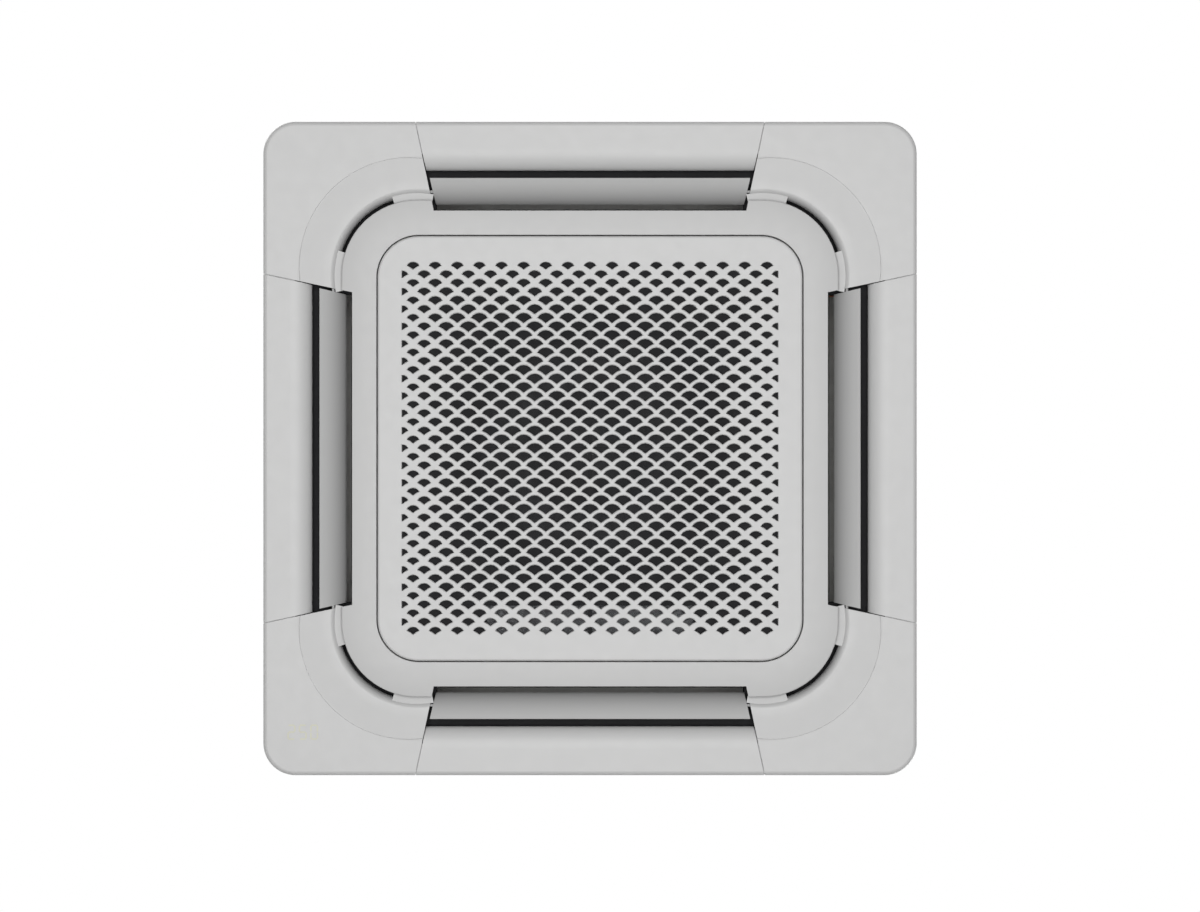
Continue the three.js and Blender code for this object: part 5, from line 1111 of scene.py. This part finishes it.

# ---------------------------------------------------------------- finishes of the solids that stay

# The frame plastic and the vanes take darker copies of the white plastic; their darkness is painted shade.
NODE_FINISHES = {
    "panel_frame": RING_SHADED_ABS, "grille_hinge_rail": RING_SHADED_ABS, "push_catch_left": RING_SHADED_ABS,
    "push_catch_right": RING_SHADED_ABS, "cabinet_shell": ZINC_STEEL, "cabinet_lining": BEAD_FOAM,
    "panel_seal": GASKET, "filter_frame": FILTER_BAR, "drain_pan": DARK_FOAM}
SLOT_FINISHES = {
    "white_panel": WHITE_ABS, "vane_plastic": VANE_SHADED_ABS, "frame_plastic": RING_SHADED_ABS,
    "grey_plastic": GREY_PLASTIC,
    "white_foam": BEAD_FOAM, "dark_foam": DARK_FOAM,
    "gasket_foam": GASKET, "zinc_steel": ZINC_STEEL, "fin_aluminium": FIN_STOCK,
    "copper": COPPER, "brass": BRASS, "steel": PLATED_STEEL, "black_rubber": RUBBER,
    "circuit_green": CIRCUIT, "filter_net": NET}


def finish_of(name):
    """A node's finish: its own, or that of its material slot in the record."""
    if name in NODE_FINISHES:
        return NODE_FINISHES[name]
    return SLOT_FINISHES[SLOT_OF[name]]


def dress(node, finish):
    """Puts a finish on every material slot of a CAD node."""
    if not node.material_slots:
        node.data.materials.append(finish)
    for place in node.material_slots:
        place.link = "OBJECT"
        place.material = finish


SLOT_OF = {part["node"]: part["material_slot"] for part in frame["record"]["subparts"]}
for node_name, node_object in frame["nodes"].items():
    dress(node_object, finish_of(node_name))

# ---------------------------------------------------------------- camera, floor and light

VIEW_DISTANCE = 5.978  # from the lens to the panel's face
FRAME_WIDTH = 1.7431  # what the photograph's width takes in at the panel's face


def look_up_camera():
    """The camera straight below the panel, the photograph's upper edge towards -Y."""
    data = bpy.data.cameras.new("camera")
    data.sensor_width = 36
    data.lens = data.sensor_width * VIEW_DISTANCE / FRAME_WIDTH
    camera = bpy.data.objects.new("camera", data)
    bpy.context.scene.collection.objects.link(camera)
    camera.matrix_world = Matrix((
        (1, 0, 0, 0.0145), (0, -1, 0, 0.0109), (0, 0, -1, PANEL_FACE * MM - VIEW_DISTANCE), (0, 0, 0, 1)))
    bpy.context.scene.camera = camera


def background(strength):
    """A plain white surrounding to the camera and in reflections, which lights the object evenly."""
    world = bpy.data.worlds.new("studio")
    bpy.context.scene.world = world
    world.use_nodes = True
    nodes, links = world.node_tree.nodes, world.node_tree.links
    light = nodes["Background"]
    light.inputs["Color"].default_value = (1, 1, 1, 1)
    light.inputs["Strength"].default_value = strength
    seen = nodes.new("ShaderNodeBackground")
    seen.inputs["Color"].default_value = (1, 1, 1, 1)
    seen.inputs["Strength"].default_value = 1
    ray = nodes.new("ShaderNodeLightPath")
    either = None
    for kind in ("Is Camera Ray", "Is Glossy Ray", "Is Transmission Ray"):
        if either is None:
            either = ray.outputs[kind]
            continue
        most = nodes.new("ShaderNodeMath")
        most.operation = "MAXIMUM"
        links.new(either, most.inputs[0])
        links.new(ray.outputs[kind], most.inputs[1])
        either = most.outputs[0]
    mix = nodes.new("ShaderNodeMixShader")
    links.new(either, mix.inputs["Fac"])
    links.new(light.outputs["Background"], mix.inputs[1])
    links.new(seen.outputs["Background"], mix.inputs[2])
    links.new(mix.outputs["Shader"], nodes["World Output"].inputs["Surface"])


def lamp(name, place, size, power):
    """A soft square lamp that faces the middle of the object."""
    data = bpy.data.lights.new(name, "AREA")
    data.shape, data.size, data.energy = "SQUARE", size, power
    light = bpy.data.objects.new(name, data)
    bpy.context.scene.collection.objects.link(light)
    light.location = place
    light.rotation_euler = (-Vector(place)).to_track_quat("-Z", "Y").to_euler()
    light.visible_camera = False


def pale_floor():
    """A pale matt floor that stays pale to the camera where the lamps don't reach it."""
    material = moulded("pale floor", (0.80, 0.80, 0.80), 0.8, grain=(4, 0.1), tint=(0.5, 0.01))
    nodes, links = material.node_tree.nodes, material.node_tree.links
    ray, share = nodes.new("ShaderNodeLightPath"), nodes.new("ShaderNodeMath")
    share.operation = "MULTIPLY"
    share.inputs[1].default_value = 0.75
    links.new(ray.outputs["Is Camera Ray"], share.inputs[0])
    pale, mix = nodes.new("ShaderNodeEmission"), nodes.new("ShaderNodeMixShader")
    pale.inputs["Color"].default_value = (0.86, 0.86, 0.86, 1)
    links.new(share.outputs[0], mix.inputs["Fac"])
    links.new(nodes["Principled BSDF"].outputs["BSDF"], mix.inputs[1])
    links.new(pale.outputs["Emission"], mix.inputs[2])
    links.new(mix.outputs["Shader"], nodes["Material Output"].inputs["Surface"])
    return material


def floor_plane():
    mesh = bpy.data.meshes.new("floor")
    half, height = 150, -8
    mesh.from_pydata([(-half, -half, height), (half, -half, height), (half, half, height),
                      (-half, half, height)],
                     [], [(0, 1, 2, 3)])
    floor = linked("floor", mesh)
    mesh.materials.append(pale_floor())


look_up_camera()
background(0.20)
lamp("lamp below", (0, -0.1, -4), 2.6, 113)
lamp("lamp above front", (3, 3, 3.5), 2.5, 110)
lamp("lamp above back", (-3, -3, 3.5), 2.5, 110)
floor_plane()
bpy.context.scene.view_settings.view_transform = "Standard"

# ---------------------------------------------------------------- the view layer brought up to date

bpy.context.view_layer.update()
